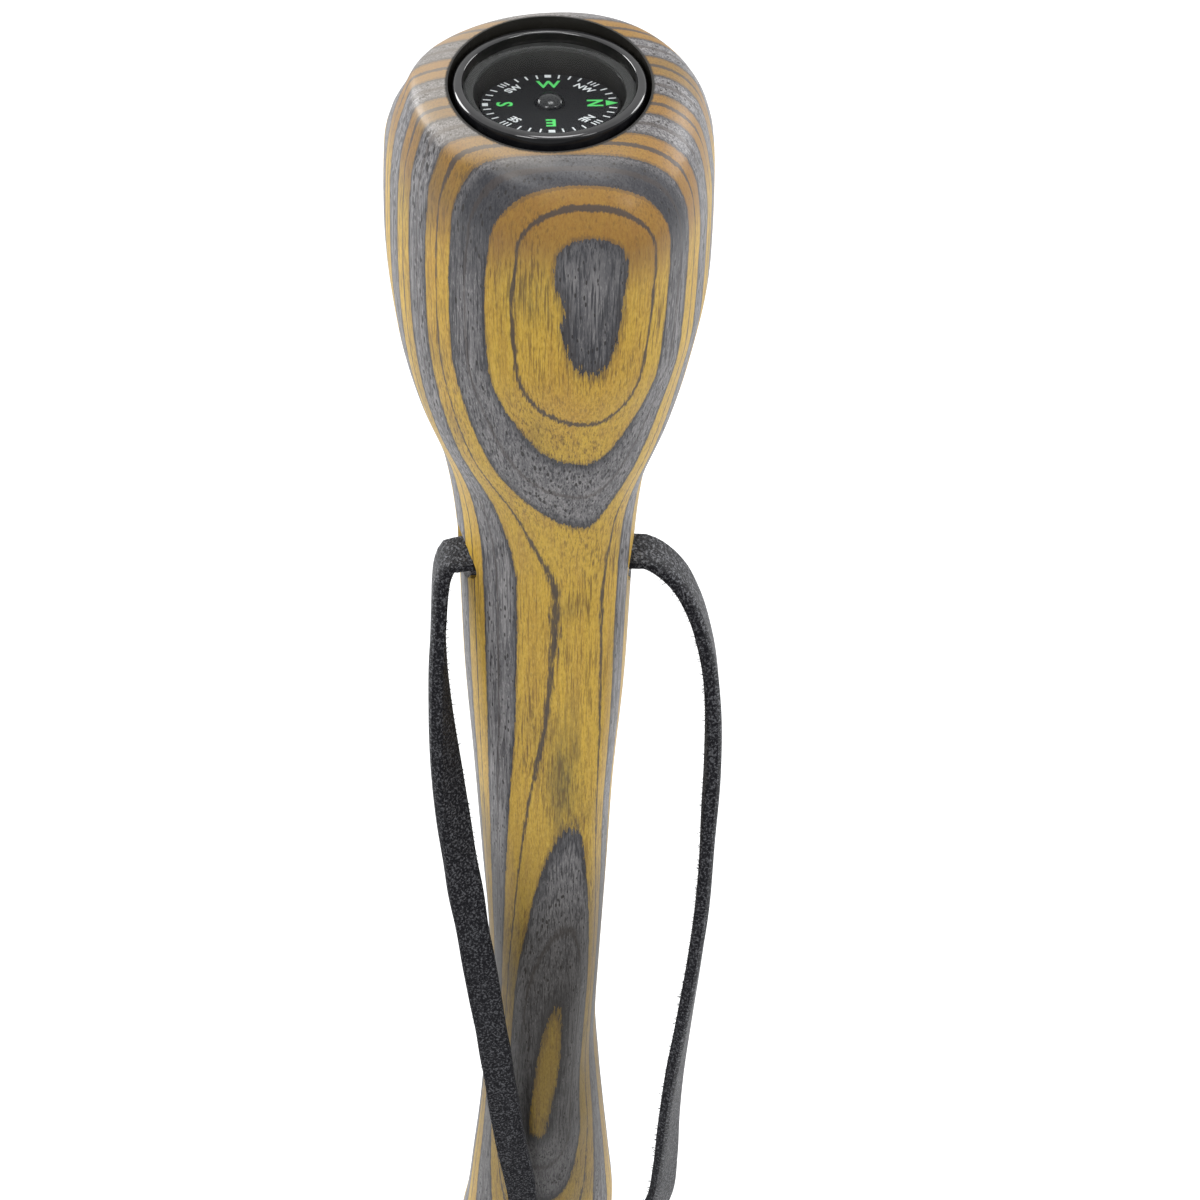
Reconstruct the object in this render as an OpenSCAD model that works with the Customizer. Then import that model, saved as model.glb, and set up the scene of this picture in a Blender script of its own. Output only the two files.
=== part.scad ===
// Hiking staff carved from laminated wood, with a compass in its head,
// a leather lace for a wrist strap and a rubber tip.
// Millimetres. The origin is the middle of the foot's face.
// +Z runs up the staff, the front faces -Y and +X is to the right of the front.

/* [Staff] */
// Overall length, from the foot's face to the top of the head
staff_l = 1219; // [900:1:1500]
// Diameter of the turned lower end, which the carving of the shaft follows
shaft_d = 19; // [16:0.1:24]
// Height of the head, from the strap hole to the top
head_h = 74; // [62:1:95]
// Width of the head at its widest
head_w = 36.8; // [34:0.1:44]
// Depth of the head, front to back, at its deepest
head_depth = 33; // [32:0.1:44]
// How square the carved section is: 2 is an ellipse, more has fuller corners
squareness = 2.15; // [2:0.05:3]

/* [Laminate] */
// Thickness of one dyed veneer
veneer_t = 1.5; // [1.2:0.1:2.2]
// Veneers of one colour that lie together in a band
veneers_per_band = 2; // [1:1:3]
// Depth of the foremost band where it shows on the head's front
front_band_t = 0.5; // [0.5:0.1:2]

/* [Compass] */
// Diameter of the compass case
case_d = 20; // [18:0.1:22]
// Height of the compass case
case_h = 8.4; // [7.4:0.1:10]
// Thickness of the case's floor
case_floor_t = 1; // [0.6:0.1:1.4]
// Width of the case's rim round the lens
rim_w = 1; // [0.6:0.1:1.6]
// Width of the ledge in the case that carries the seal and the lens
ledge_w = 1.1; // [0.6:0.1:1.6]
// Gap between the case and the wall of its socket
socket_gap = 0.5; // [0.2:0.05:0.8]
// How far the middle of the case's rim lies below the top of the staff
rim_drop = 1.2; // [0.7:0.1:2]
// Thickness of the adhesive under the case
adhesive_t = 0.5; // [0.2:0.1:1]
// How far the socket's front edge lies in front of the staff's axis, level with the case's rim
socket_front = 9.5; // [9:0.1:9.9]
// How far the compass leans back in its socket, in degrees
compass_lean = 6; // [0:0.5:7]
// Thickness of the lens at its edge
lens_edge_t = 1; // [0.7:0.1:1.3]
// How far the lens bulges above its edge
lens_rise = 1.3; // [0.8:0.1:1.8]
// Gap between the lens and the wall of its seat
lens_gap = 0.1; // [0.05:0.05:0.2]
// Rounding of the case's rim
rim_round = 0.4; // [0.2:0.1:0.6]
// Depth of the lens's edge below the case's rim
lens_drop = 0.4; // [0.2:0.1:0.8]
// Thickness of the seal under the lens
seal_t = 0.3; // [0.2:0.05:0.5]
// Gap between the dial card's edge and the case's bowl
dial_gap = 0.7; // [0.3:0.1:1]
// Thickness of the dial card
dial_t = 0.4; // [0.3:0.05:0.6]
// Depth of the dial's underside below the case's rim
dial_drop = 3.4; // [3.2:0.1:3.8]
// How far the dial leans back in the case, in degrees, as a card that hangs level while the staff leans
dial_lean = 11; // [0:0.5:12]
// Outer diameter of the ring magnet under the dial
magnet_d = 9; // [7:0.1:11]
// Thickness of the ring magnet
magnet_t = 1.2; // [0.8:0.1:1.6]
// Diameter of the dial's hub
hub_d = 3.2; // [2.6:0.1:4]
// Height of the hub's dome above the card
hub_rise = 1.1; // [0.8:0.1:1.5]
// Diameter of the pivot pin
pin_d = 0.8; // [0.6:0.05:1]
// Running clearance of the hub on the pin, measured on the radius
pivot_gap = 0.05; // [0.02:0.01:0.09]

/* [Strap] */
// Diameter of the hole through the neck
strap_hole_d = 6; // [5.6:0.1:7]
// How far the strap hole's middle lies below the foot of the head
strap_hole_drop = 1.9; // [0:0.1:3]
// Width of the leather lace
lace_w = 4.8; // [4:0.1:5]
// Thickness of the leather lace
lace_t = 2; // [1.8:0.1:2.6]
// Width of the knot
knot_d = 10; // [9.8:0.1:11]
// Height of the knot
knot_h = 15; // [13.6:0.1:17]

/* [Rubber tip] */
// Height of the rubber tip
tip_h = 32; // [26:0.5:44]
// Diameter of the tip's body
tip_body_d = 29.6; // [26:0.1:36]
// Diameter of the foot, the tip's widest ring
tip_foot_d = 31.4; // [28:0.1:38]
// Height of the foot ring's widest line
tip_foot_h = 4.6; // [3.5:0.1:7]
// Thickness of the rubber under the washer
tip_base_t = 8; // [5:0.5:12]
// Height of the smooth bead round the tip's mouth
tip_bead_h = 4; // [3:0.5:6]
// Depth of the groove under the bead
tip_groove_t = 0.6; // [0.3:0.1:1]
// Number of shallow flutes round the tip
flute_count = 24; // [12:1:36]
// Depth of a flute
flute_depth = 0.5; // [0.2:0.1:0.8]
// Thickness of the steel washer at the bottom of the bore
washer_t = 1.2; // [0.8:0.1:2]
// Clearance of the washer in the bore, measured on the radius
washer_gap = 0.3; // [0.1:0.1:0.6]
// Clearance of the rubber tip on the wood, measured on the radius
tip_gap = 0.05; // [0:0.01:0.1]

/* [Hidden] */
$fn = 64;
// One overrun serves all cuts
overrun = 1;
grain_grey = [0.36, 0.34, 0.34];
grain_gold = [0.76, 0.59, 0.22];

// Heights up the staff
tenon_r = shaft_d / 2;
wood_z = tip_base_t + washer_t;
neck_z = staff_l - head_h;
carved_l = neck_z - wood_z;
strap_z = neck_z - strap_hole_drop;

// The carving, from the bottom of the wood up to the neck. Each row is a height, as a share of that length,
// then how far the wood goes left, right, to the front and to the back, where its ridge lies to the right and
// where its widest line lies to the back, as shares of the shaft's diameter.
shaft_shares = [
    [0, 0.52, 0.52, 0.52, 0.52, 0, 0],
    [0.022, 0.515, 0.525, 0.51, 0.525, 0, 0],
    [0.041, 0.49, 0.505, 0.455, 0.535, 0, 0],
    [0.067, 0.495, 0.47, 0.36, 0.55, 0, 0],
    [0.089, 0.48, 0.48, 0.38, 0.54, 0, 0],
    [0.113, 0.46, 0.5, 0.4, 0.535, 0, 0],
    [0.14, 0.46, 0.5, 0.362, 0.55, 0.02, 0],
    [0.155, 0.46, 0.495, 0.352, 0.553, 0.04, 0],
    [0.168, 0.468, 0.5, 0.38, 0.553, 0.05, 0],
    [0.187, 0.526, 0.59, 0.458, 0.563, 0.06, 0],
    [0.206, 0.637, 0.647, 0.563, 0.616, 0.08, 0],
    [0.222, 0.54, 0.59, 0.484, 0.558, 0.06, 0],
    [0.247, 0.537, 0.58, 0.432, 0.574, 0.02, 0],
    [0.275, 0.547, 0.626, 0.416, 0.642, 0, 0],
    [0.297, 0.647, 0.72, 0.416, 0.737, -0.03, 0],
    [0.319, 0.72, 0.737, 0.421, 0.8, -0.05, 0],
    [0.362, 0.78, 0.774, 0.447, 0.842, -0.07, 0],
    [0.388, 0.78, 0.768, 0.484, 0.832, -0.07, 0],
    [0.428, 0.737, 0.705, 0.542, 0.747, -0.06, 0],
    [0.462, 0.642, 0.642, 0.61, 0.58, -0.03, 0],
    [0.488, 0.542, 0.584, 0.637, 0.453, 0, 0],
    [0.505, 0.59, 0.53, 0.626, 0.463, -0.04, 0],
    [0.527, 0.705, 0.468, 0.568, 0.547, -0.1, 0],
    [0.544, 0.763, 0.437, 0.505, 0.642, -0.14, 0],
    [0.56, 0.72, 0.405, 0.59, 0.505, -0.12, 0],
    [0.589, 0.616, 0.395, 0.71, 0.316, -0.1, 0],
    [0.615, 0.558, 0.39, 0.632, 0.326, -0.07, 0],
    [0.636, 0.516, 0.39, 0.516, 0.4, -0.05, 0],
    [0.659, 0.516, 0.442, 0.632, 0.347, -0.01, 0],
    [0.686, 0.526, 0.547, 0.716, 0.358, 0.02, 0],
    [0.707, 0.537, 0.653, 0.668, 0.442, 0.06, 0],
    [0.728, 0.6, 0.742, 0.537, 0.59, 0.1, 0],
    [0.747, 0.647, 0.732, 0.363, 0.726, 0.08, 0],
    [0.76, 0.642, 0.62, 0.3, 0.716, 0.05, 0],
    [0.775, 0.605, 0.468, 0.274, 0.653, 0, 0],
    [0.791, 0.695, 0.532, 0.295, 0.716, -0.04, 0],
    [0.811, 0.8, 0.658, 0.337, 0.8, -0.06, 0],
    [0.827, 0.79, 0.668, 0.395, 0.768, -0.05, 0],
    [0.84, 0.705, 0.663, 0.463, 0.684, 0, 0],
    [0.855, 0.632, 0.605, 0.532, 0.58, -0.01, 0],
    [0.869, 0.563, 0.542, 0.61, 0.49, -0.04, 0.012],
    [0.883, 0.51, 0.484, 0.693, 0.416, -0.07, 0.043],
    [0.899, 0.458, 0.437, 0.699, 0.358, 0.01, 0.092],
    [0.917, 0.443, 0.455, 0.686, 0.358, 0.085, 0.13],
    [0.936, 0.48, 0.482, 0.6, 0.39, 0.175, 0.17],
    [0.956, 0.522, 0.508, 0.524, 0.442, 0.2, 0.2],
    [0.978, 0.57, 0.562, 0.473, 0.505, 0.255, 0.21],
    [1, 0.588, 0.583, 0.465, 0.542, 0.26, 0.223]
];

// The head, from the neck up: height as a share of the head's height, left and right as shares of its width,
// front and back as shares of its depth, the ridge as a share of its width, and the widest line as a share of its
// depth. The last row closes the dome, inside the compass socket.
head_shares = [
    [0.19, 0.346, 0.334, 0.301, 0.339, 0.108, 0.204],
    [0.35, 0.427, 0.419, 0.376, 0.4, 0.09, 0.205],
    [0.473, 0.472, 0.469, 0.425, 0.454, 0.097, 0.237],
    [0.62, 0.495, 0.505, 0.483, 0.485, 0.117, 0.3],
    [0.784, 0.481, 0.495, 0.494, 0.494, 0.134, 0.275],
    [0.87, 0.452, 0.464, 0.488, 0.448, 0.153, 0.199],
    [0.93, 0.413, 0.423, 0.444, 0.407, 0.132, 0.124],
    [0.964, 0.383, 0.366, 0.385, 0.405, 0.077, 0.085],
    [0.98, 0.301, 0.301, 0.31, 0.365, 0.019, 0.03],
    [0.987, 0.135, 0.135, 0.15, 0.18, 0, 0.03]
];

socket_d = case_d + 2 * socket_gap;
compass_back = socket_d / 2 - socket_front;

// Rows of height, left, right, front, back, ridge and widest line, as lengths
stations = concat(
    [for (s = shaft_shares) [wood_z + s[0] * carved_l, each [for (k = [1:6]) s[k] * shaft_d]]],
    [for (s = head_shares) [
        neck_z + s[0] * head_h,
        s[1] * head_w,
        s[2] * head_w,
        s[3] * head_depth,
        s[4] * head_depth,
        s[5] * head_w,
        s[6] * head_depth
    ]]
);
carve_sides = 24;
ring_count = len(stations);

// The laminate: flat bands of veneer across the depth, counted from the front
band_t = veneer_t * veneers_per_band;
first_joint_y = front_band_t - head_depth / 2;
band_count = 1 + round((head_depth - front_band_t) / band_t);
slab_reach = staff_l;
function band_name(i) = str("veneer_band_", i < 10 ? "0" : "", i);
function band_front(i) = i == 1 ? -slab_reach : first_joint_y + (i - 2) * band_t;
function band_back(i) = i == band_count ? slab_reach : first_joint_y + (i - 1) * band_t;

// Heights in the compass, from the socket's floor up
case_z = staff_l - rim_drop - case_h;
socket_z = case_z - adhesive_t;
floor_z = case_z + case_floor_t;
rim_z = case_z + case_h;
lens_z = rim_z - lens_drop - lens_edge_t;
seal_z = lens_z - seal_t;
dial_z = rim_z - dial_drop;
seat_r = case_d / 2 - rim_w;
lens_r = seat_r - lens_gap;
bowl_r = seat_r - ledge_w;
dial_r = bowl_r - dial_gap;
rim_edge = min(rim_round, rim_w / 2);

// The dial turns on the pin's tip. The hub's bore widens downwards, so that it clears the pin when the dial leans.
hub_r = hub_d / 2;
bore_top_z = dial_z + dial_t;
pin_top_z = bore_top_z - pivot_gap;
bore_top_r = (pin_d / 2 + pivot_gap) / cos(dial_lean);
bore_mouth_r = bore_top_r + (dial_t + magnet_t) * tan(dial_lean);
hub_wall = 0.22;
hub_neck_r = bore_mouth_r + hub_wall;
pin_foot_share = 3.2;
pin_foot_r = pin_foot_share * pin_d / 2;
pin_foot_t = pin_d / 2;

// Routes of the strap's stretches. Each point is X and Y as shares of the shaft's diameter, the drop below the
// strap hole as a share of the carved length, and the turn of the lace's width away from X, in degrees.
bight_shares = [
    [-0.6, 0, 0, 90],
    [0, 0, 0, 90],
    [0.6, 0, 0, 90]
];
left_leg_shares = [
    [-0.6, 0, 0, 90],
    [-0.632, 0, 0, 90],
    [-0.662, -0.005, 0.0007, 90],
    [-0.69, -0.021, 0.0021, 90],
    [-0.708, -0.047, 0.0042, 90],
    [-0.722, -0.084, 0.0075, 90],
    [-0.744, -0.147, 0.0141, 86],
    [-0.742, -0.232, 0.0238, 72],
    [-0.711, -0.337, 0.0343, 50],
    [-0.658, -0.453, 0.0458, 28],
    [-0.584, -0.568, 0.059, 12],
    [-0.504, -0.663, 0.0731, 4],
    [-0.428, -0.737, 0.0872, 0],
    [-0.361, -0.789, 0.1013, 0],
    [-0.292, -0.821, 0.1153, 0],
    [-0.214, -0.842, 0.1285, 0],
    [-0.208, -0.847, 0.1409, 0],
    [-0.224, -0.842, 0.1532, 0],
    [-0.242, -0.832, 0.162, 0],
    [-0.242, -0.832, 0.1682, 0]
];
right_leg_shares = [
    [0.6, 0, 0, 90],
    [0.635, 0, 0, 90],
    [0.692, -0.005, 0.0004, 90],
    [0.782, -0.026, 0.0015, 90],
    [0.876, -0.058, 0.0033, 90],
    [0.972, -0.111, 0.0065, 90],
    [1.073, -0.211, 0.0123, 90],
    [1.138, -0.326, 0.0203, 90],
    [1.161, -0.453, 0.0299, 90],
    [1.155, -0.579, 0.0405, 86],
    [1.15, -0.705, 0.0519, 82],
    [1.113, -0.821, 0.0643, 77],
    [1.063, -0.916, 0.0766, 72],
    [1.016, -0.989, 0.0889, 66],
    [0.995, -1.037, 0.1013, 60],
    [0.995, -1.053, 0.1136, 50],
    [0.972, -1.037, 0.125, 36],
    [0.837, -0.989, 0.1356, 20],
    [0.626, -0.926, 0.1453, 8],
    [0.379, -0.874, 0.1541, 0],
    [0.158, -0.842, 0.1611, 0],
    [0.032, -0.832, 0.1682, 0]
];
left_tail_shares = [
    [-0.242, -0.916, 0.1761, 8],
    [-0.316, -0.958, 0.1831, 8],
    [-0.453, -0.979, 0.1919, 8],
    [-0.621, -0.968, 0.2016, 8],
    [-0.789, -0.937, 0.2104, 8],
    [-0.926, -0.895, 0.2175, 8]
];
right_tail_shares = [
    [0.021, -0.768, 0.1761, -6],
    [-0.084, -0.779, 0.184, -6],
    [-0.253, -0.789, 0.1937, -6],
    [-0.421, -0.779, 0.2043, -6],
    [-0.558, -0.758, 0.2131, -6],
    [-0.642, -0.737, 0.2192, -6]
];
knot_share = [-0.105, -0.832, 0.1721];
function route_point(s) = [s[0] * shaft_d, s[1] * shaft_d, strap_z - s[2] * carved_l];
function route(shares) = [for (s = shares) [each route_point(s), s[3]]];
lace_corner_share = 0.55;
knot_wraps = 3;
knot_steps = 14;
// How deep the lines between the knot's turns are, and how narrow its ends are, as shares of its radius
knot_dip_share = 0.12;
knot_end_share = 0.5;

// Places on the rubber tip
tip_bore_r = tenon_r + tip_gap;
tip_body_r = tip_body_d / 2;
tip_foot_r = tip_foot_d / 2;
foot_round_share = 0.85;
foot_round = foot_round_share * tip_foot_h;
tip_waist_h = 2 * tip_foot_h;
sleeve_z = tip_foot_h + tip_groove_t;
tip_core_r = tip_body_r - 2 * flute_depth;
bead_z = tip_h - tip_bead_h;
bead_r = tip_body_r - flute_depth;
tip_mouth_share = 0.35;
tip_mouth_round = tip_mouth_share * tip_bead_h;
round_steps = 3;
// Turn and depth round one flute, as shares of its pitch and its depth
flute_shares = [[0, 0], [0.4, 0], [0.55, 0.75], [0.7, 1], [0.85, 0.75]];

// A number raised to a power with its sign kept
function signed_power(v, e) = sign(v) * pow(abs(v), e);

// One ring of points round the staff
function carved_ring(s) = let (e = 2 / squareness) [
    for (k = [0:carve_sides - 1])
        let (
            a = 360 * k / carve_sides,
            across = cos(a) > 0 ? s[2] - s[5] : s[1] + s[5],
            deep = sin(a) > 0 ? s[4] - s[6] : s[3] + s[6]
        )
        [s[5] + across * signed_power(cos(a), e), s[6] + deep * signed_power(sin(a), e), s[0]]
];

// Triangles between rings of n points, closed by a fan of triangles at each end
function tube_faces(rings, n) = [
    for (r = [0:rings - 2]) for (k = [0:n - 1])
        let (a = r * n + k, b = r * n + (k + 1) % n)
        each [[a, a + n, b], [b, a + n, b + n]],
    for (k = [1:n - 2]) each [
        [0, k, k + 1],
        [(rings - 1) * n, (rings - 1) * n + k + 1, (rings - 1) * n + k]
    ]
];

module carved_blank() {
    polyhedron(
        [for (s = stations) each carved_ring(s)],
        tube_faces(ring_count, carve_sides)
    );
}

// Sets what is drawn about the staff's axis in the compass's place. It leans back about the middle of its rim.
module on_compass_axis() {
    translate([0, compass_back, rim_z])
        rotate([-compass_lean, 0, 0])
            translate([0, 0, -rim_z])
                children();
}

// Sets what is drawn about the staff's axis on the pin's tip, leaning back as the dial does
module on_dial_axis() {
    on_compass_axis()
        translate([0, 0, pin_top_z])
            rotate([-dial_lean, 0, 0])
                translate([0, 0, -pin_top_z])
                    children();
}

module compass_socket() {
    on_compass_axis()
        translate([0, 0, socket_z])
            cylinder(d = socket_d, h = staff_l - socket_z + overrun);
}

module strap_hole() {
    translate([-head_w, 0, strap_z])
        rotate([0, 90, 0])
            cylinder(d = strap_hole_d, h = 2 * head_w);
}

// All that lies outside the turned end, which the rubber tip goes over
module turning() {
    translate([0, 0, -overrun])
        difference() {
            cylinder(r = tip_foot_d, h = tip_h + overrun);
            translate([0, 0, -overrun])
                cylinder(r = tenon_r, h = tip_h + 3 * overrun);
        }
}

module veneer_band(i) {
    color(i % 2 == 1 ? grain_grey : grain_gold)
        difference() {
            intersection() {
                carved_blank();
                translate([-slab_reach, band_front(i), -overrun])
                    cube([2 * slab_reach, band_back(i) - band_front(i), staff_l + 2 * overrun]);
            }
            compass_socket();
            strap_hole();
            turning();
        }
}

module compass_case() {
    color([0.03, 0.03, 0.035])
        rotate_extrude()
            polygon([
                [0, case_z],
                [case_d / 2, case_z],
                [case_d / 2, rim_z - rim_edge],
                [case_d / 2 - rim_edge, rim_z],
                [seat_r, rim_z],
                [seat_r, seal_z],
                [bowl_r, seal_z],
                [bowl_r, floor_z],
                [0, floor_z]
            ]);
}

// A clear cap: a flat edge that sits on the seal, and a domed window of even thickness
module compass_lens() {
    dome_steps = 6;
    top = [
        for (k = [0:dome_steps])
            let (u = k / dome_steps)
            [bowl_r * u, lens_z + lens_edge_t + lens_rise * (1 - u * u)]
    ];
    under = [
        for (k = [dome_steps:-1:0])
            let (u = k / dome_steps)
            [bowl_r * u, lens_z + lens_rise * (1 - u * u)]
    ];
    color([0.85, 0.9, 0.92, 0.3])
        rotate_extrude()
            polygon(concat(
                top,
                [[lens_r, lens_z + lens_edge_t], [lens_r, lens_z]],
                under
            ));
}

module lens_seal() {
    color([0.08, 0.08, 0.08])
        translate([0, 0, seal_z])
            difference() {
                cylinder(r = lens_r, h = seal_t);
                translate([0, 0, -overrun])
                    cylinder(r = bowl_r, h = seal_t + 2 * overrun);
            }
}

module compass_adhesive() {
    color([0.75, 0.7, 0.55])
        translate([0, 0, socket_z])
            cylinder(d = case_d, h = adhesive_t);
}

module pivot_pin() {
    pin_r = pin_d / 2;
    color([0.7, 0.71, 0.73])
        rotate_extrude()
            polygon([
                [0, floor_z],
                [pin_foot_r, floor_z],
                [pin_foot_r, floor_z + pin_foot_t],
                [pin_r, floor_z + pin_foot_t],
                [pin_r, pin_top_z - pin_r],
                [pin_r / 2, pin_top_z - pin_r / 4],
                [0, pin_top_z]
            ]);
}

// The hub hangs on the pin: a domed cap over the card, and a neck through the card and the magnet
module dial_hub() {
    dome_steps = 6;
    dome_z = dial_z + dial_t;
    color([0.06, 0.06, 0.07])
        rotate_extrude()
            polygon(concat(
                [
                    [bore_mouth_r, dial_z - magnet_t],
                    [hub_neck_r, dial_z - magnet_t],
                    [hub_neck_r, dome_z]
                ],
                [
                    for (k = [0:dome_steps])
                        let (a = 90 * k / dome_steps)
                        [hub_r * cos(a), dome_z + hub_rise * sin(a)]
                ],
                [[0, bore_top_z], [bore_top_r, bore_top_z]]
            ));
}

module compass_dial() {
    color([0.02, 0.02, 0.025])
        translate([0, 0, dial_z])
            difference() {
                cylinder(r = dial_r, h = dial_t);
                translate([0, 0, -overrun])
                    cylinder(r = hub_neck_r, h = dial_t + 2 * overrun);
            }
}

module dial_magnet() {
    color([0.25, 0.25, 0.27])
        translate([0, 0, dial_z - magnet_t])
            difference() {
                cylinder(d = magnet_d, h = magnet_t);
                translate([0, 0, -overrun])
                    cylinder(r = hub_neck_r, h = magnet_t + 2 * overrun);
            }
}

// The lace's section: a flat strip with its four corners cut off, as width and thickness offsets
lace_section = let (w = lace_w / 2, t = lace_t / 2, c = lace_corner_share * lace_t / 2) [
    [w, -t + c], [w, t - c], [w - c, t], [c - w, t],
    [-w, t - c], [-w, c - t], [c - w, -t], [w - c, -t]
];

function unit(v) = v / norm(v);
function place(p) = [p[0], p[1], p[2]];

// The lace's direction at a point of its route
function heading(points, i) = unit(
    place(points[min(i + 1, len(points) - 1)]) - place(points[max(i - 1, 0)])
);

// The section set across the route at a point
function lace_ring(points, i) = let (
    ahead = heading(points, i),
    turn = [cos(points[i][3]), sin(points[i][3]), 0],
    wide = unit(turn - (turn * ahead) * ahead),
    thick = cross(ahead, wide)
) [for (q = lace_section) place(points[i]) + q[0] * wide + q[1] * thick];

module lace(points) {
    color([0.07, 0.07, 0.075])
        polyhedron(
            [for (i = [0:len(points) - 1]) each lace_ring(points, i)],
            tube_faces(len(points), len(lace_section))
        );
}

module strap_bight() lace(route(bight_shares));
module strap_left_leg() lace(route(left_leg_shares));
module strap_right_leg() lace(route(right_leg_shares));
module strap_left_tail() lace(route(left_tail_shares));
module strap_right_tail() lace(route(right_tail_shares));

// The overhand knot, as the round turns that show on its outside
module strap_knot() {
    knot_r = knot_d / 2;
    color([0.06, 0.06, 0.065])
        translate(route_point(knot_share))
            rotate_extrude()
                polygon(concat(
                    [[0, -knot_h / 2]],
                    [
                        for (k = [0:knot_steps])
                            let (
                                u = k / knot_steps,
                                swell = sqrt(1 - pow(2 * u - 1, 4)),
                                dip = knot_dip_share * pow(cos(180 * knot_wraps * u), 2)
                            )
                            [
                                knot_r * (1 - dip) * (knot_end_share + (1 - knot_end_share) * swell),
                                knot_h * u - knot_h / 2
                            ]
                    ],
                    [[0, knot_h / 2]]
                ));
}

// The turned core of the rubber tip, from the foot's face up to the mouth
function tip_outline() = concat(
    [[0, 0]],
    [
        for (k = [0:round_steps])
            let (a = -90 + 90 * k / round_steps)
            [tip_foot_r - foot_round + foot_round * cos(a), foot_round + foot_round * sin(a)]
    ],
    [
        [tip_foot_r, tip_foot_h],
        [tip_core_r, tip_waist_h],
        [tip_core_r, bead_z],
        [bead_r, bead_z + tip_groove_t]
    ],
    [
        for (k = [0:round_steps])
            let (a = 90 * k / round_steps)
            [
                bead_r - tip_mouth_round + tip_mouth_round * cos(a),
                tip_h - tip_mouth_round + tip_mouth_round * sin(a)
            ]
    ],
    [[0, tip_h]]
);

// The outline of the fluted sleeve: a flat land, then a hollow, over and over
function flute_outline() = [
    for (k = [0:flute_count - 1]) for (step = flute_shares)
        let (a = 360 * (k + step[0]) / flute_count, r = tip_body_r - flute_depth * step[1])
        [r * cos(a), r * sin(a)]
];

module rubber_tip() {
    color([0.05, 0.05, 0.05])
        difference() {
            union() {
                rotate_extrude()
                    polygon(tip_outline());
                translate([0, 0, sleeve_z])
                    linear_extrude(bead_z - tip_groove_t - sleeve_z)
                        polygon(flute_outline());
            }
            translate([0, 0, tip_base_t])
                cylinder(r = tip_bore_r, h = tip_h - tip_base_t + overrun);
        }
}

module tip_washer() {
    color([0.6, 0.61, 0.63])
        translate([0, 0, tip_base_t])
            cylinder(r = tenon_r - washer_gap, h = washer_t);
}

for (i = [1:band_count])
    veneer_band(i);
on_compass_axis() compass_case();
on_compass_axis() compass_lens();
on_compass_axis() lens_seal();
on_compass_axis() compass_adhesive();
on_compass_axis() pivot_pin();
on_dial_axis() dial_hub();
on_dial_axis() compass_dial();
on_dial_axis() dial_magnet();
strap_bight();
strap_left_leg();
strap_right_leg();
strap_knot();
strap_left_tail();
strap_right_tail();
rubber_tip();
tip_washer();
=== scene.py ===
"""Hiking staff of two-colour laminated wood with a compass in its head, a wrist strap and a rubber tip."""

import math
import random

import bmesh
import bpy
import numpy as np
from mathutils import Matrix, Vector
from mathutils.bvhtree import BVHTree
from mathutils.interpolate import poly_3d_calc


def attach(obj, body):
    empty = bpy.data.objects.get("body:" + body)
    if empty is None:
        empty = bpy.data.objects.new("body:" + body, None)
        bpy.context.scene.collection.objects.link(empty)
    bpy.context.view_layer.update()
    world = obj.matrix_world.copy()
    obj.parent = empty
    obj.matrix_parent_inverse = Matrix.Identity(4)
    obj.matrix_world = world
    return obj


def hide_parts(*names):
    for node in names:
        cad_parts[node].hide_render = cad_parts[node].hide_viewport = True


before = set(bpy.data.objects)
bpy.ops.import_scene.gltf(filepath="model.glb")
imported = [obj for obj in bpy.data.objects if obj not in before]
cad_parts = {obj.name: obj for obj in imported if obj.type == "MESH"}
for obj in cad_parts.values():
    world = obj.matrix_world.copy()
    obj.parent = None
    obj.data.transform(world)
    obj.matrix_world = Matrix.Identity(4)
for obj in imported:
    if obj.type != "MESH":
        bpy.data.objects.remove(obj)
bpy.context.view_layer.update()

MM = 0.001

# Sizes of the part's source, in millimetres
STAFF_L, SHAFT_D = 1219.0, 19.0
HEAD_H, HEAD_W, HEAD_DEPTH, SQUARENESS = 74.0, 36.8, 33.0, 2.15
VENEER_T, BAND_T, BANDS = 1.5, 3.0, 12
FIRST_JOINT_Y = 0.5 - HEAD_DEPTH / 2
WOOD_Z, NECK_Z = 9.2, STAFF_L - HEAD_H
CARVED_L = NECK_Z - WOOD_Z
TIP_H = 32.0
CASE_R, CASE_Z, FLOOR_Z, RIM_Z = 10.0, 1209.4, 1210.4, 1217.8
SEAT_R, BOWL_R, LENS_R = 9.0, 7.9, 8.9
SEAL_Z, LENS_Z, LENS_EDGE_T, LENS_RISE = 1216.1, 1216.4, 1.0, 1.3
SOCKET_R, SOCKET_Z, COMPASS_Y, COMPASS_LEAN = 10.5, 1208.9, 1.0, 6.0
DIAL_R, DIAL_Z, DIAL_T, DIAL_LEAN = 7.2, 1214.4, 0.4, 11.0
PIN_TOP_Z = DIAL_Z + DIAL_T - 0.05
HUB_R, HUB_NECK_R, HUB_RISE, MAGNET_T = 1.6, 0.989, 1.1, 1.2
STRAP_HOLE_R, STRAP_Z, LACE_W, LACE_T = 3.0, NECK_Z - 1.9, 4.8, 2.0

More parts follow.
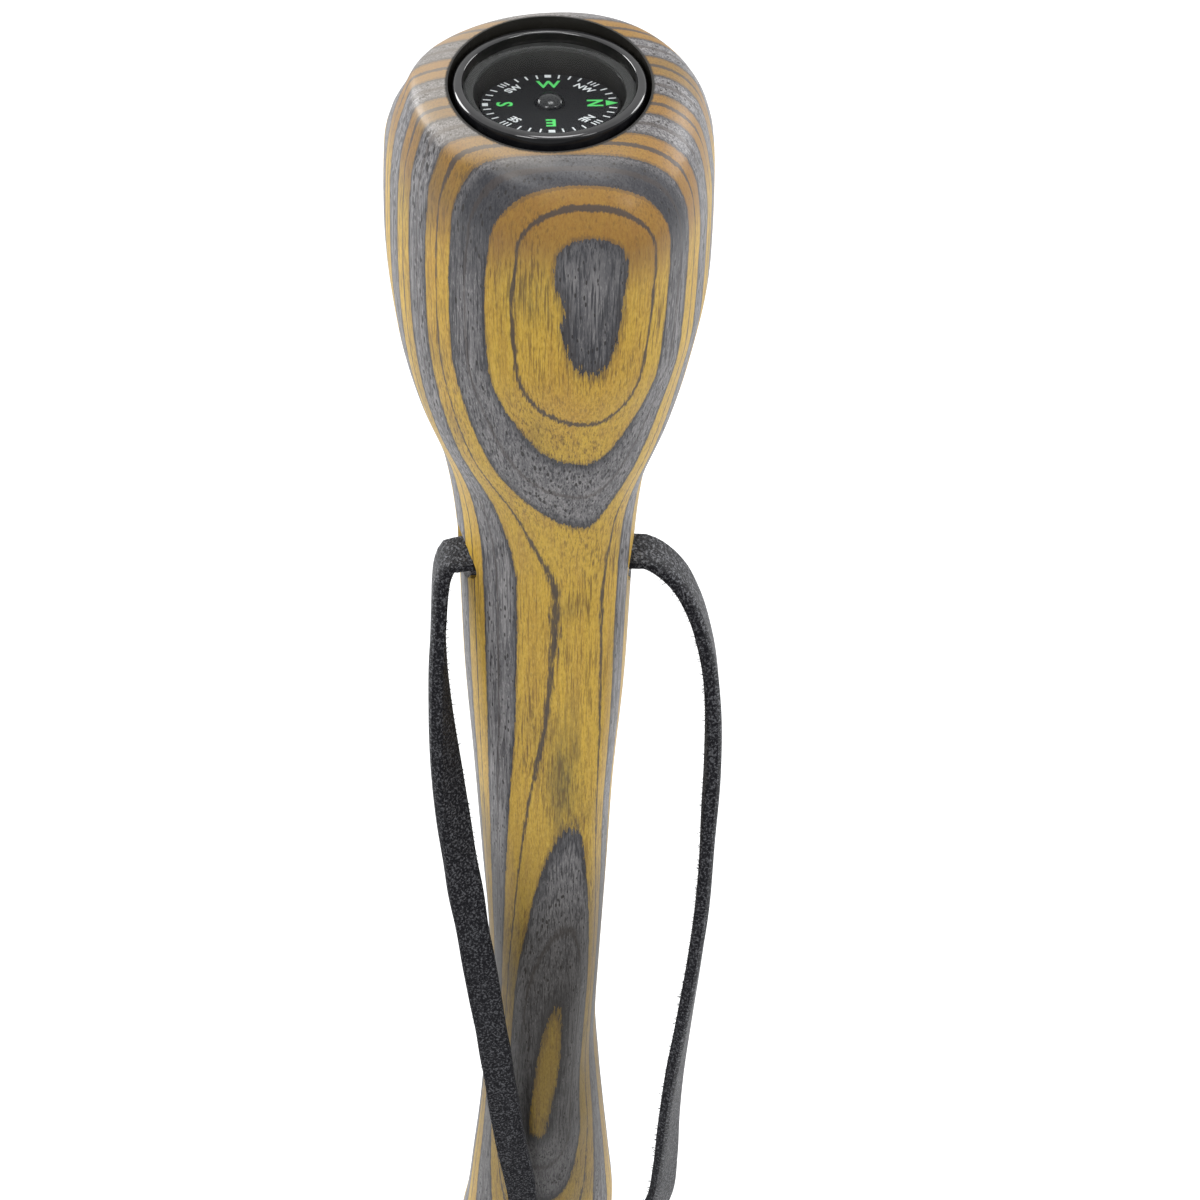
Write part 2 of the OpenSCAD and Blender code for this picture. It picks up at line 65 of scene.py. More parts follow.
# The carving: share of the carved length, then left, right, front, back, ridge and widest line as shares of
# the shaft's diameter
SHAFT_SHARES = [
    (0, 0.52, 0.52, 0.52, 0.52, 0, 0),
    (0.022, 0.515, 0.525, 0.51, 0.525, 0, 0),
    (0.041, 0.49, 0.505, 0.455, 0.535, 0, 0),
    (0.067, 0.495, 0.47, 0.36, 0.55, 0, 0),
    (0.089, 0.48, 0.48, 0.38, 0.54, 0, 0),
    (0.113, 0.46, 0.5, 0.4, 0.535, 0, 0),
    (0.14, 0.46, 0.5, 0.362, 0.55, 0.02, 0),
    (0.155, 0.46, 0.495, 0.352, 0.553, 0.04, 0),
    (0.168, 0.468, 0.5, 0.38, 0.553, 0.05, 0),
    (0.187, 0.526, 0.59, 0.458, 0.563, 0.06, 0),
    (0.206, 0.637, 0.647, 0.563, 0.616, 0.08, 0),
    (0.222, 0.54, 0.59, 0.484, 0.558, 0.06, 0),
    (0.247, 0.537, 0.58, 0.432, 0.574, 0.02, 0),
    (0.275, 0.547, 0.626, 0.416, 0.642, 0, 0),
    (0.297, 0.647, 0.72, 0.416, 0.737, -0.03, 0),
    (0.319, 0.72, 0.737, 0.421, 0.8, -0.05, 0),
    (0.362, 0.78, 0.774, 0.447, 0.842, -0.07, 0),
    (0.388, 0.78, 0.768, 0.484, 0.832, -0.07, 0),
    (0.428, 0.737, 0.705, 0.542, 0.747, -0.06, 0),
    (0.462, 0.642, 0.642, 0.61, 0.58, -0.03, 0),
    (0.488, 0.542, 0.584, 0.637, 0.453, 0, 0),
    (0.505, 0.59, 0.53, 0.626, 0.463, -0.04, 0),
    (0.527, 0.705, 0.468, 0.568, 0.547, -0.1, 0),
    (0.544, 0.763, 0.437, 0.505, 0.642, -0.14, 0),
    (0.56, 0.72, 0.405, 0.59, 0.505, -0.12, 0),
    (0.589, 0.616, 0.395, 0.71, 0.316, -0.1, 0),
    (0.615, 0.558, 0.39, 0.632, 0.326, -0.07, 0),
    (0.636, 0.516, 0.39, 0.516, 0.4, -0.05, 0),
    (0.659, 0.516, 0.442, 0.632, 0.347, -0.01, 0),
    (0.686, 0.526, 0.547, 0.716, 0.358, 0.02, 0),
    (0.707, 0.537, 0.653, 0.668, 0.442, 0.06, 0),
    (0.728, 0.6, 0.742, 0.537, 0.59, 0.1, 0),
    (0.747, 0.647, 0.732, 0.363, 0.726, 0.08, 0),
    (0.76, 0.642, 0.62, 0.3, 0.716, 0.05, 0),
    (0.775, 0.605, 0.468, 0.274, 0.653, 0, 0),
    (0.791, 0.695, 0.532, 0.295, 0.716, -0.04, 0),
    (0.811, 0.8, 0.658, 0.337, 0.8, -0.06, 0),
    (0.827, 0.79, 0.668, 0.395, 0.768, -0.05, 0),
    (0.84, 0.705, 0.663, 0.463, 0.684, 0, 0),
    (0.855, 0.632, 0.605, 0.532, 0.58, -0.01, 0),
    (0.869, 0.563, 0.542, 0.61, 0.49, -0.04, 0.012),
    (0.883, 0.51, 0.484, 0.693, 0.416, -0.07, 0.043),
    (0.899, 0.458, 0.437, 0.699, 0.358, 0.01, 0.092),
    (0.917, 0.443, 0.455, 0.686, 0.358, 0.085, 0.13),
    (0.936, 0.48, 0.482, 0.6, 0.39, 0.175, 0.17),
    (0.956, 0.522, 0.508, 0.524, 0.442, 0.2, 0.2),
    (0.978, 0.57, 0.562, 0.473, 0.505, 0.255, 0.21),
    (1, 0.588, 0.583, 0.465, 0.542, 0.26, 0.223),
]
# The head: share of its height, left and right of its width, front and back of its depth, ridge of its width,
# then widest line of its depth. The last row closes the dome, inside the socket.
HEAD_SHARES = [
    (0.19, 0.346, 0.334, 0.301, 0.339, 0.108, 0.204),
    (0.35, 0.427, 0.419, 0.376, 0.4, 0.09, 0.205),
    (0.473, 0.472, 0.469, 0.425, 0.454, 0.097, 0.237),
    (0.62, 0.495, 0.505, 0.483, 0.485, 0.117, 0.3),
    (0.784, 0.481, 0.495, 0.494, 0.494, 0.134, 0.275),
    (0.87, 0.452, 0.464, 0.488, 0.448, 0.153, 0.199),
    (0.93, 0.413, 0.423, 0.444, 0.407, 0.132, 0.124),
    (0.964, 0.383, 0.366, 0.385, 0.405, 0.077, 0.085),
    (0.98, 0.301, 0.301, 0.31, 0.365, 0.019, 0.03),
    (0.987, 0.135, 0.135, 0.15, 0.18, 0, 0.03),
]
# The strap: X and Y as shares of the shaft's diameter, the drop as a share of the carved length, then the
# turn in degrees
LEFT_LEG = [
    (-0.6, 0, 0, 90), (-0.632, 0, 0, 90), (-0.662, -0.005, 0.0007, 90), (-0.69, -0.021, 0.0021, 90),
    (-0.708, -0.047, 0.0042, 90), (-0.722, -0.084, 0.0075, 90), (-0.744, -0.147, 0.0141, 86),
    (-0.742, -0.232, 0.0238, 72), (-0.711, -0.337, 0.0343, 50), (-0.658, -0.453, 0.0458, 28),
    (-0.584, -0.568, 0.059, 12), (-0.504, -0.663, 0.0731, 4), (-0.428, -0.737, 0.0872, 0),
    (-0.361, -0.789, 0.1013, 0), (-0.292, -0.821, 0.1153, 0), (-0.214, -0.842, 0.1285, 0),
    (-0.208, -0.847, 0.1409, 0), (-0.224, -0.842, 0.1532, 0), (-0.242, -0.832, 0.162, 0),
    (-0.242, -0.832, 0.1682, 0),
]
RIGHT_LEG = [
    (0.6, 0, 0, 90), (0.635, 0, 0, 90), (0.692, -0.005, 0.0004, 90), (0.782, -0.026, 0.0015, 90),
    (0.876, -0.058, 0.0033, 90), (0.972, -0.111, 0.0065, 90), (1.073, -0.211, 0.0123, 90),
    (1.138, -0.326, 0.0203, 90), (1.161, -0.453, 0.0299, 90), (1.155, -0.579, 0.0405, 86),
    (1.15, -0.705, 0.0519, 82), (1.113, -0.821, 0.0643, 77), (1.063, -0.916, 0.0766, 72),
    (1.016, -0.989, 0.0889, 66), (0.995, -1.037, 0.1013, 60), (0.995, -1.053, 0.1136, 50),
    (0.972, -1.037, 0.125, 36), (0.837, -0.989, 0.1356, 20), (0.626, -0.926, 0.1453, 8),
    (0.379, -0.874, 0.1541, 0), (0.158, -0.842, 0.1611, 0), (0.032, -0.832, 0.1682, 0),
]
LEFT_TAIL = [
    (-0.242, -0.916, 0.1761, 8), (-0.316, -0.958, 0.1831, 8), (-0.453, -0.979, 0.1919, 8),
    (-0.621, -0.968, 0.2016, 8), (-0.789, -0.937, 0.2104, 8), (-0.926, -0.895, 0.2175, 8),
]
RIGHT_TAIL = [
    (0.021, -0.768, 0.1761, -6), (-0.084, -0.779, 0.184, -6), (-0.253, -0.789, 0.1937, -6),
    (-0.421, -0.779, 0.2043, -6), (-0.558, -0.758, 0.2131, -6), (-0.642, -0.737, 0.2192, -6),
]
BIGHT = [(-0.6, 0, 0, 90), (0, 0, 0, 90), (0.6, 0, 0, 90)]
KNOT = (-0.105, -0.832, 0.1721)

# The photograph's camera: yaw, pitch and roll in degrees, its place, and its lens in millimetres
CAMERA_TURN = (4.05, 51.40, -1.916)
CAMERA_PLACE = (-7.57, -203.78, 1389.36)
CAMERA_LENS, SENSOR_W = 76.63, 36.0

# Places in the wood's dye. The veneer swells behind the top and the foot of the oval on the head's front:
# middle, radius and rise.
OVAL_SWELLS = [((1.5, -15.7, STAFF_L - 9.5), 7.0, 0.36), ((3.0, -16.0, STAFF_L - 23.5), 6.0, 0.07)]
BESIDE_OVAL = (-2.0, -15.5, STAFF_L - 16)
NECK_GREEN = (2.3, -9.0, 1106.0)


def leaned(place, z, degrees):
    """A place with a lean towards the back, about a point of its axis at height z."""
    pivot = Vector((0, 0, z)) * MM
    lean = Matrix.Rotation(-math.radians(degrees), 4, "X")
    return place @ Matrix.Translation(pivot) @ lean @ Matrix.Translation(-pivot)


# The case leans back in the wood, and the dial leans back in the case. Their pieces are drawn about the
# staff's axis.
CASE_PLACE = leaned(Matrix.Translation((0, COMPASS_Y * MM, 0)), RIM_Z, COMPASS_LEAN)
DIAL_PLACE = leaned(CASE_PLACE, PIN_TOP_Z, DIAL_LEAN)


def route_point(x, y, drop):
    """A point of the strap in millimetres."""
    return Vector((x * SHAFT_D, y * SHAFT_D, STRAP_Z - drop * CARVED_L))


# Meshes

def new_object(name, verts, faces, body=None):
    mesh = bpy.data.meshes.new(name)
    mesh.from_pydata([tuple(c * MM for c in v) for v in verts], [], faces)
    mesh.update()
    return link(name, mesh, body)


def link(name, mesh, body=None):
    obj = bpy.data.objects.new(name, mesh)
    bpy.context.scene.collection.objects.link(obj)
    if body:
        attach(obj, body)
    return obj


def smooth(obj, angle=35):
    obj.data.shade_smooth()
    obj.data.set_sharp_from_angle(angle=math.radians(angle))


def paint(obj, *materials):
    obj.data.materials.clear()
    for m in materials:
        obj.data.materials.append(m)


def ring_mesh(rings):
    """Verts and faces of rings of equal count, closed by a fan at each end."""
    count = len(rings[0])
    verts = [point for ring in rings for point in ring]
    pairs = [(k, (k + 1) % count) for k in range(count)]
    faces = [
        (low + a, low + b, low + count + b, low + count + a)
        for low in range(0, (len(rings) - 1) * count, count)
        for a, b in pairs
    ]
    for ring, low, last in ((rings[0], 0, False), (rings[-1], len(verts) - count, True)):
        middle = len(verts)
        verts.append(tuple(sum(axis) / count for axis in zip(*ring)))
        faces += [(low + a, low + b, middle) if last else (low + b, low + a, middle) for a, b in pairs]
    return verts, faces


def turned(profile, segments):
    """Rings about Z for a profile of (r, z)."""
    angles = [2 * math.pi * k / segments for k in range(segments)]
    return [[(r * math.cos(a), r * math.sin(a), z) for a in angles] for r, z in profile]


def lathe(name, profile, body, place, segments):
    """A turned closed solid. The profile runs along the outside, and its two ends are closed flat."""
    obj = new_object(name, *ring_mesh(turned(profile, segments)), body)
    obj.data.transform(place)
    smooth(obj)
    return obj


def arc(middle_r, middle_z, radius, start, end, steps):
    """Points of an arc in a profile, angles in degrees from +r towards +z."""
    angles = [math.radians(start + (end - start) * k / steps) for k in range(steps + 1)]
    return [(middle_r + radius * math.cos(a), middle_z + radius * math.sin(a)) for a in angles]


# Materials

class Shader:
    """The nodes of a new material or world, made by short calls. Values are numbers, tuples or sockets."""

    def __init__(self, name, world=False):
        self.owner = (bpy.data.worlds if world else bpy.data.materials).new(name)
        self.owner.use_nodes = True
        self.tree = self.owner.node_tree
        self.tree.nodes.clear()
        self.out = self.tree.nodes.new("ShaderNodeOutputWorld" if world else "ShaderNodeOutputMaterial")
        self.object = self.tree.nodes.new("ShaderNodeTexCoord").outputs["Object"]

    def node(self, kind, inputs=None, **props):
        node = self.tree.nodes.new(kind)
        for key, value in props.items():
            setattr(node, key, value)
        for key, value in (inputs or {}).items():
            self.put(node.inputs[key], value)
        return node

    def put(self, socket, value):
        """Links a socket or sets its value. Colours are three numbers."""
        if isinstance(value, bpy.types.NodeSocket):
            self.tree.links.new(value, socket)
        else:
            socket.default_value = (*value, 1.0) if socket.type == "RGBA" else value

    def math(self, op, a, b=0.0, c=0.0):
        return self.node("ShaderNodeMath", {0: a, 1: b, 2: c}, operation=op).outputs[0]

    def times(self, a, b, plus=0.0):
        """One value times another, plus a third."""
        return self.math("MULTIPLY_ADD", a, b, plus)

    def scaled(self, x, y, z):
        """Object coordinates in millimetres times a scale for each axis."""
        scale = (x / MM, y / MM, z / MM)
        return self.node("ShaderNodeVectorMath", {0: self.object, 1: scale}, operation="MULTIPLY").outputs[0]

    def noise(self, scale, detail=2.0, rough=0.5):
        inputs = {"Vector": self.scaled(*scale), "Scale": 1.0, "Detail": detail, "Roughness": rough}
        return self.node("ShaderNodeTexNoise", inputs).outputs[0]

    def voronoi(self, scale):
        inputs = {"Vector": self.scaled(*scale), "Scale": 1.0}
        return self.node("ShaderNodeTexVoronoi", inputs).outputs["Distance"]

    def span(self, value, low, high, to_low=0.0, to_high=1.0, soft=True):
        """Maps a value from one range to another, with its ends held."""
        inputs = {"Value": value, "From Min": low, "From Max": high, "To Min": to_low, "To Max": to_high}
        way = "SMOOTHSTEP" if soft else "LINEAR"
        return self.node("ShaderNodeMapRange", inputs, interpolation_type=way).outputs[0]

    def distance(self, squeeze, centre):
        """Millimetres from a place, with each axis squeezed."""
        inputs = {0: self.scaled(*squeeze), 1: tuple(a * b for a, b in zip(squeeze, centre))}
        return self.node("ShaderNodeVectorMath", inputs, operation="DISTANCE").outputs["Value"]

    def spot(self, centre, radius, wobble):
        """1 about a place in millimetres, falling to 0 at a radius that a noise makes uneven."""
        uneven = self.times(wobble, radius, self.distance((1, 1, 1), centre))
        return self.span(uneven, 0.7 * radius, 1.6 * radius, 1.0, 0.0)

    def mix(self, fac, a, b):
        return self.node("ShaderNodeMix", {0: fac, 6: a, 7: b}, data_type="RGBA").outputs[2]

    def layers(self, colour, coats):
        """A colour under coats of an amount and a colour each."""
        for amount, coat in coats:
            colour = self.mix(amount, colour, coat)
        return colour

    def bump(self, height, strength, distance):
        inputs = {"Height": height, "Strength": strength, "Distance": distance * MM}
        return self.node("ShaderNodeBump", inputs).outputs[0]

    def sees_white(self):
        """1 for the rays that see a white studio: from the camera, off gloss and through glass."""
        rays = self.node("ShaderNodeLightPath").outputs
        bent = self.math("MAXIMUM", rays["Is Glossy Ray"], rays["Is Transmission Ray"])
        return self.math("MAXIMUM", rays["Is Camera Ray"], bent)

    def principled(self, **inputs):
        named = {k.replace("_", " "): v for k, v in inputs.items()}
        return self.node("ShaderNodeBsdfPrincipled", named).outputs[0]

    def done(self, surface):
        self.tree.links.new(surface, self.out.inputs["Surface"])
        return self.owner


class Grain:
    """The noises that the wood's colours follow, and the place in the veneers, in millimetres."""

    def __init__(self, s):
        axes = s.node("ShaderNodeSeparateXYZ", {0: s.scaled(1, 1, 1)})
        self.x, self.y, self.z = (axes.outputs[a] for a in "XYZ")
        self.slow = s.noise((0.045, 0.045, 0.012), 2.0)
        self.feather = s.noise((4.0, 4.0, 0.4), 3.0, 0.65)
        self.streak = s.noise((1.2, 1.2, 0.05), 5.0, 0.62)
        self.fibre = s.noise((5.0, 5.0, 0.17), 3.0, 0.65)
        self.grit = s.noise((5.5, 5.5, 1.0), 3.0, 0.7)
        self.patch = s.noise((0.07, 0.07, 0.03), 3.0, 0.55)
        self.olive = s.noise((0.11, 0.11, 0.05), 2.0, 0.5)
        depth = self.depth(s)
        self.ply = s.math("DIVIDE", depth, VENEER_T)
        band = s.math("DIVIDE", depth, BAND_T)
        # 0 in a gold band, 1 in a grey one
        self.grey = s.math("GREATER_THAN", s.math("FLOORED_MODULO", band, 2.0), 1.0)
        # Millimetres to the nearest glue line, and to the nearest joint between the colours
        self.glue = s.times(s.math("PINGPONG", self.ply, 0.5), VENEER_T)
        self.joint = s.times(s.math("PINGPONG", band, 0.5), BAND_T)

    def depth(self, s):
        """Millimetres behind the first joint. The joints are wavy and feathered, and swell about the oval."""
        wave = s.times(self.slow, 0.5, -0.25)
        edge = s.times(self.feather, 0.4, -0.2)
        swell = s.math("ADD", wave, edge)
        for centre, radius, rise in OVAL_SWELLS:
            swell = s.times(s.spot(centre, radius, self.slow), -rise, swell)
        return s.math("SUBTRACT", s.math("ADD", self.y, swell), FIRST_JOINT_Y)


# In the wood's functions s is its Shader and g its Grain

def green_stain(s, g):
    """Olive patches, a streaked one beside the oval, and a long green place in the neck."""
    from_neck = s.distance((1, 0.3, 0.17), NECK_GREEN)
    neck = s.span(s.times(g.streak, 6.0, from_neck), 2.8, 7.0, 0.95, 0.0)
    neck = s.times(neck, s.span(g.fibre, 0.4, 0.6, 1.0, 0.6))
    head = s.times(s.spot(BESIDE_OVAL, 6.5, g.slow), s.span(g.fibre, 0.4, 0.6, 0.6, 0.1))
    patches = s.math("MAXIMUM", s.span(g.olive, 0.52, 0.7, 0.0, 0.3), head)
    return s.math("MAXIMUM", patches, neck)


def gold_veneer(s, g):
    """Mustard, orange-brown at the top of the head, olive in patches, with brown strokes."""
    mustard, amber, brown = (0.590, 0.375, 0.046), (0.480, 0.235, 0.036), (0.330, 0.165, 0.024)
    straw, umber, russet = (0.740, 0.520, 0.120), (0.300, 0.175, 0.024), (0.190, 0.080, 0.018)
    moss, bark = (0.090, 0.082, 0.030), (0.150, 0.080, 0.016)
    tone = s.node("ShaderNodeTexWhiteNoise", {"W": s.math("FLOOR", g.ply)}, noise_dimensions="1D").outputs[0]
    warm = s.times(tone, 0.3, s.span(g.patch, 0.5, 0.7, -0.1, 0.3))
    high = s.span(s.times(g.patch, 8.0, g.z), STAFF_L - 12, STAFF_L - 4, 0.0, 0.74)
    strokes = s.times(s.span(g.fibre, 0.36, 0.50, 1.0, 0.0), s.span(g.olive, 0.35, 0.6, 0.3, 0.9))
    return s.layers(s.mix(warm, mustard, amber), (
        (s.span(g.streak, 0.3, 0.6, 0.45, 0.0), brown),
        (s.span(g.grit, 0.48, 0.68, 0.0, 0.4), straw),
        (s.span(g.grit, 0.32, 0.5, 0.6, 0.0), umber),
        (high, russet),
        (green_stain(s, g), moss),
        (strokes, bark),
    ))


def grey_veneer(s, g):
    """Streaked grey with pale and dark flecks, near-black along its joints and on the head's top front."""
    slate, ash, shade = (0.105, 0.102, 0.110), (0.255, 0.245, 0.248), (0.070, 0.068, 0.077)
    pale, soot, ink = (0.370, 0.355, 0.350), (0.028, 0.027, 0.032), (0.014, 0.015, 0.021)
    rim = s.span(s.times(g.fibre, 0.6, g.joint), 0.3, 0.85, 0.8, 0.0)
    upper = s.span(s.times(g.patch, 14.0, g.z), STAFF_L - 11, STAFF_L + 1, 0.0, 0.85)
    top_front = s.times(upper, s.span(g.y, -11.0, -9.4, 1.0, 0.0))
    return s.layers(s.mix(s.span(g.streak, 0.3, 0.7), slate, ash), (
        (s.span(g.patch, 0.48, 0.7, 0.0, 0.4), shade),
        (s.span(g.grit, 0.46, 0.68, 0.0, 0.7), pale),
        (s.span(g.fibre, 0.38, 0.53, 0.9, 0.0), soot),
        (s.math("MAXIMUM", rim, top_front), ink),
    ))


def glue_lines(s, g):
    """Plainest between two golden veneers, faint at the joints of the colours, and broad on the crown."""
    broad = s.span(g.z, STAFF_L - 9, STAFF_L - 3, 0.0, -0.15)
    near = s.times(g.fibre, 0.16, s.math("ADD", g.glue, broad))
    line = s.times(s.span(near, 0.11, 0.23, 1.0, 0.0), s.times(g.grey, -0.3, 0.92))
    return s.times(line, s.span(g.joint, 0.3, 0.6, 0.45, 1.0))


def pores(s, g):
    """Short dark dashes along the grain, in rows and clusters of the grey."""
    row_at = s.times(g.slow, 0.8, 0.1)
    from_row = s.math("ABSOLUTE", s.math("SUBTRACT", s.math("FRACT", g.ply), row_at))
    row = s.span(from_row, 0.04, 0.18, 0.13, 0.0)
    cluster = s.span(g.olive, 0.45, 0.65, 0.0, 0.09)
    near = s.math("SUBTRACT", s.voronoi((1.9, 1.9, 0.55)), s.math("ADD", row, cluster))
    dash = s.span(near, 0.1, 0.19, 1.0, 0.0)
    return s.times(dash, s.times(g.grey, 0.75, 0.2))


def painted_low_shade(s, g):
    """1 in a stretch below the neck, which is painted darker as shade where the light falls off."""
    below_neck = s.span(g.z, NECK_Z - 85, NECK_Z - 40, 1.0, 0.0)
    return s.times(below_neck, s.span(g.z, NECK_Z - 210, NECK_Z - 120))


def painted_crown_sheen(s, g):
    """The crown's top is painted pale as a sheen, mainly at its left."""
    top = s.span(s.times(g.patch, 5.0, g.z), STAFF_L - 1.0, STAFF_L + 1.4, 0.0, 0.28)
    return s.times(top, s.span(g.x, -4.0, 9.0, 1.0, 0.15))


def dark_socket_wall(s, g):
    """1 on the wall of the leaning socket, which is coloured near-black."""
    lean = math.tan(math.radians(COMPASS_LEAN))
    back = s.math("SUBTRACT", s.times(g.z, -lean, g.y), COMPASS_Y - lean * RIM_Z)
    out = s.math("SQRT", s.times(g.x, g.x, s.times(back, back)))
    wall = s.span(s.times(g.feather, 0.3, out), SOCKET_R + 0.3, SOCKET_R + 0.55, 1.0, 0.0)
    return s.times(wall, s.math("GREATER_THAN", g.z, SOCKET_Z - 1))


def wood_material():
    """Dyed veneers in pairs across Y, with the grain along Z, feathered joints, dark glue lines and pores."""
    s = Shader("laminated_wood")
    g = Grain(s)
    pore, low_shade = pores(s, g), painted_low_shade(s, g)
    colour = s.layers(s.mix(g.grey, gold_veneer(s, g), grey_veneer(s, g)), (
        (glue_lines(s, g), (0.045, 0.034, 0.030)),
        (pore, (0.012, 0.010, 0.010)),
        # Painted shade, darkening the stretch below the neck
        (s.times(low_shade, 0.68), (0.020, 0.017, 0.013)),
        # Painted sheen on the crown's top
        (painted_crown_sheen(s, g), (0.560, 0.510, 0.440)),
        # Near-black on the socket's wall
        (dark_socket_wall(s, g), (0.010, 0.009, 0.007)),
    ))
    height = s.math("SUBTRACT", s.times(g.fibre, 0.5), pore)
    # The varnish is full on the head's top, and the gloss drops where shade is painted below the neck
    varnish = s.span(g.z, STAFF_L - 22, STAFF_L - 6)
    gloss = s.math("SUBTRACT", varnish, low_shade)
    return s.done(s.principled(
        Base_Color=colour, Roughness=s.span(g.streak, 0.25, 0.8, 0.4, 0.54, False),
        Normal=s.bump(height, 0.45, 0.08), Coat_Weight=s.times(varnish, 0.1, 0.06),
        Coat_Roughness=0.3, Specular_IOR_Level=s.times(gloss, 0.16, 0.2)))


def leather_material(name, raw):
    """Near-black leather with pale flecks painted as glints: the smooth side has a fine pebble, the raw side
    a short nap.
    """
    s = Shader(name)
    glint_noise = s.noise((3.2, 3.2, 2.4) if raw else (2.8, 2.8, 2.8), 3.0, 0.7)
    fine = s.noise((7.0, 7.0, 7.0), 2.0, 0.6)
    pebble = s.voronoi((3.0, 3.0, 3.0))
    dark = (0.005, 0.005, 0.007) if raw else (0.010, 0.010, 0.012)
    pale = (0.115, 0.116, 0.125) if raw else (0.170, 0.172, 0.185)
    # The pale flecks of both mixes are painted glints off the grain
    colour = s.mix(s.span(glint_noise, 0.48, 0.64), dark, pale)
    colour = s.mix(s.span(fine, 0.58, 0.78, 0.0, 0.5), colour, pale)
    height = s.math("ADD", glint_noise, s.times(fine if raw else pebble, 0.6))
    rough = 0.85 if raw else 0.5
    return s.done(s.principled(
        Base_Color=colour, Roughness=s.span(glint_noise, 0.3, 0.7, rough, rough * 1.15, False),
        Normal=s.bump(height, 0.9, 0.2), Specular_IOR_Level=0.12 if raw else 0.25))


def moulded_material(name, colour, light, rough, bump=0.12, grain=1.2, spec=0.5):
    """Moulded plastic or rubber: a faint mottle, and a roughness that follows it."""
    s = Shader(name)
    mottle = s.noise((grain, grain, grain), 4.0, 0.6)
    fine = s.noise((8 * grain, 8 * grain, 8 * grain), 2.0)
    base = s.mix(s.span(mottle, 0.35, 0.7), colour, light)
    return s.done(s.principled(
        Base_Color=base, Roughness=s.span(mottle, 0.3, 0.7, rough * 0.9, rough * 1.12, False),
        Normal=s.bump(s.math("ADD", fine, mottle), bump, 0.03), Specular_IOR_Level=spec))


def metal_material(name, colour, rough):
    """Metal with fine lines from its making."""
    s = Shader(name)
    lines = s.noise((0.8, 14.0, 14.0), 3.0)
    base = s.mix(s.span(lines, 0.35, 0.7), tuple(c * 0.82 for c in colour), colour)
    return s.done(s.principled(
        Base_Color=base, Metallic=1.0, Roughness=s.span(lines, 0.3, 0.7, rough, rough * 1.5, False),
        Normal=s.bump(lines, 0.1, 0.02)))


def clear_material():
    """Clear acrylic and the liquid under it: polished outside, and hardly bending what is seen through it.
    Rays from lamps pass, so the dial is lit."""
    s = Shader("clear_lens")
    glass = s.principled(
        Base_Color=(0.95, 0.97, 0.96), Roughness=0.0, IOR=1.03, Transmission_Weight=1.0, Coat_Weight=0.25,
        Coat_Roughness=0.02, Coat_IOR=1.45)
    path = s.node("ShaderNodeLightPath")
    lit = s.math("MAXIMUM", path.outputs["Is Shadow Ray"], path.outputs["Is Diffuse Ray"])
    through = s.math("MAXIMUM", lit, path.outputs["Is Glossy Ray"])
    clear = s.node("ShaderNodeBsdfTransparent", {"Color": (0.93, 0.95, 0.94)})
    both = s.node("ShaderNodeMixShader", {0: through, 1: glass, 2: clear.outputs[0]})
    return s.done(both.outputs[0])


def ink_material(name, colour):
    """Printed ink with a faint mottle."""
    s = Shader(name)
    mottle = s.noise((5.0, 5.0, 5.0), 2.0)
    base = s.mix(s.span(mottle, 0.3, 0.7), tuple(c * 0.85 for c in colour), colour)
    return s.done(s.principled(Base_Color=base, Roughness=0.6))


# A moulded material has a dark and a light tone, then its roughness, bump, grain and specular level
WOOD = wood_material()
LEATHER = leather_material("leather_smooth", False)
SUEDE = leather_material("leather_raw", True)
CASE = moulded_material("case_plastic", (0.005, 0.005, 0.006), (0.010, 0.010, 0.011), 0.04, 0.0, 0.6, 0.16)
LIP = moulded_material("case_lip", (0.006, 0.006, 0.007), (0.012, 0.012, 0.013), 0.1, 0.0, 0.6, 0.8)
BOWL = moulded_material("case_bowl", (0.005, 0.005, 0.005), (0.012, 0.011, 0.010), 0.45, 0.0, 0.3, 0.2)
HUB = moulded_material("hub_plastic", (0.008, 0.008, 0.010), (0.014, 0.014, 0.016), 0.12, 0.0, 0.6, 0.4)
CARD = moulded_material("dial_card", (0.005, 0.005, 0.007), (0.010, 0.010, 0.012), 0.5, 0.05, 1.2, 0.12)
RUBBER = moulded_material("tip_rubber", (0.010, 0.010, 0.010), (0.026, 0.026, 0.026), 0.58, 0.35, 0.8, 0.4)
SEAL = moulded_material("seal_rubber", (0.012, 0.012, 0.012), (0.024, 0.024, 0.024), 0.6)
ADHESIVE = moulded_material("set_adhesive", (0.48, 0.40, 0.24), (0.60, 0.52, 0.34), 0.35)
MAGNET = metal_material("ferrite", (0.10, 0.10, 0.11), 0.5)
STEEL = metal_material("plated_steel", (0.62, 0.63, 0.65), 0.22)
CLEAR = clear_material()
WHITE_INK = ink_material("white_ink", (0.80, 0.82, 0.84))
GREEN_INK = ink_material("green_ink", (0.10, 0.72, 0.16))


# The camera, made before all pieces

def make_camera():
    """Yaw turns the view to the right of +Y, pitch turns it down, and roll turns the picture."""
    yaw, pitch, roll = (math.radians(a) for a in CAMERA_TURN)
    turns = ((-yaw, "Z"), (math.pi / 2 - pitch, "X"), (-roll, "Z"))
    place = Matrix.Translation(Vector(CAMERA_PLACE) * MM)
    for angle, axis in turns:
        place = place @ Matrix.Rotation(angle, 4, axis)
    data = bpy.data.cameras.new("camera")
    data.sensor_width, data.lens = SENSOR_W, CAMERA_LENS
    data.clip_start, data.clip_end = 0.01, 50
    camera = bpy.data.objects.new("camera", data)
    camera.matrix_world = place
    bpy.context.scene.collection.objects.link(camera)
    bpy.context.scene.camera = camera


make_camera()


# The strap

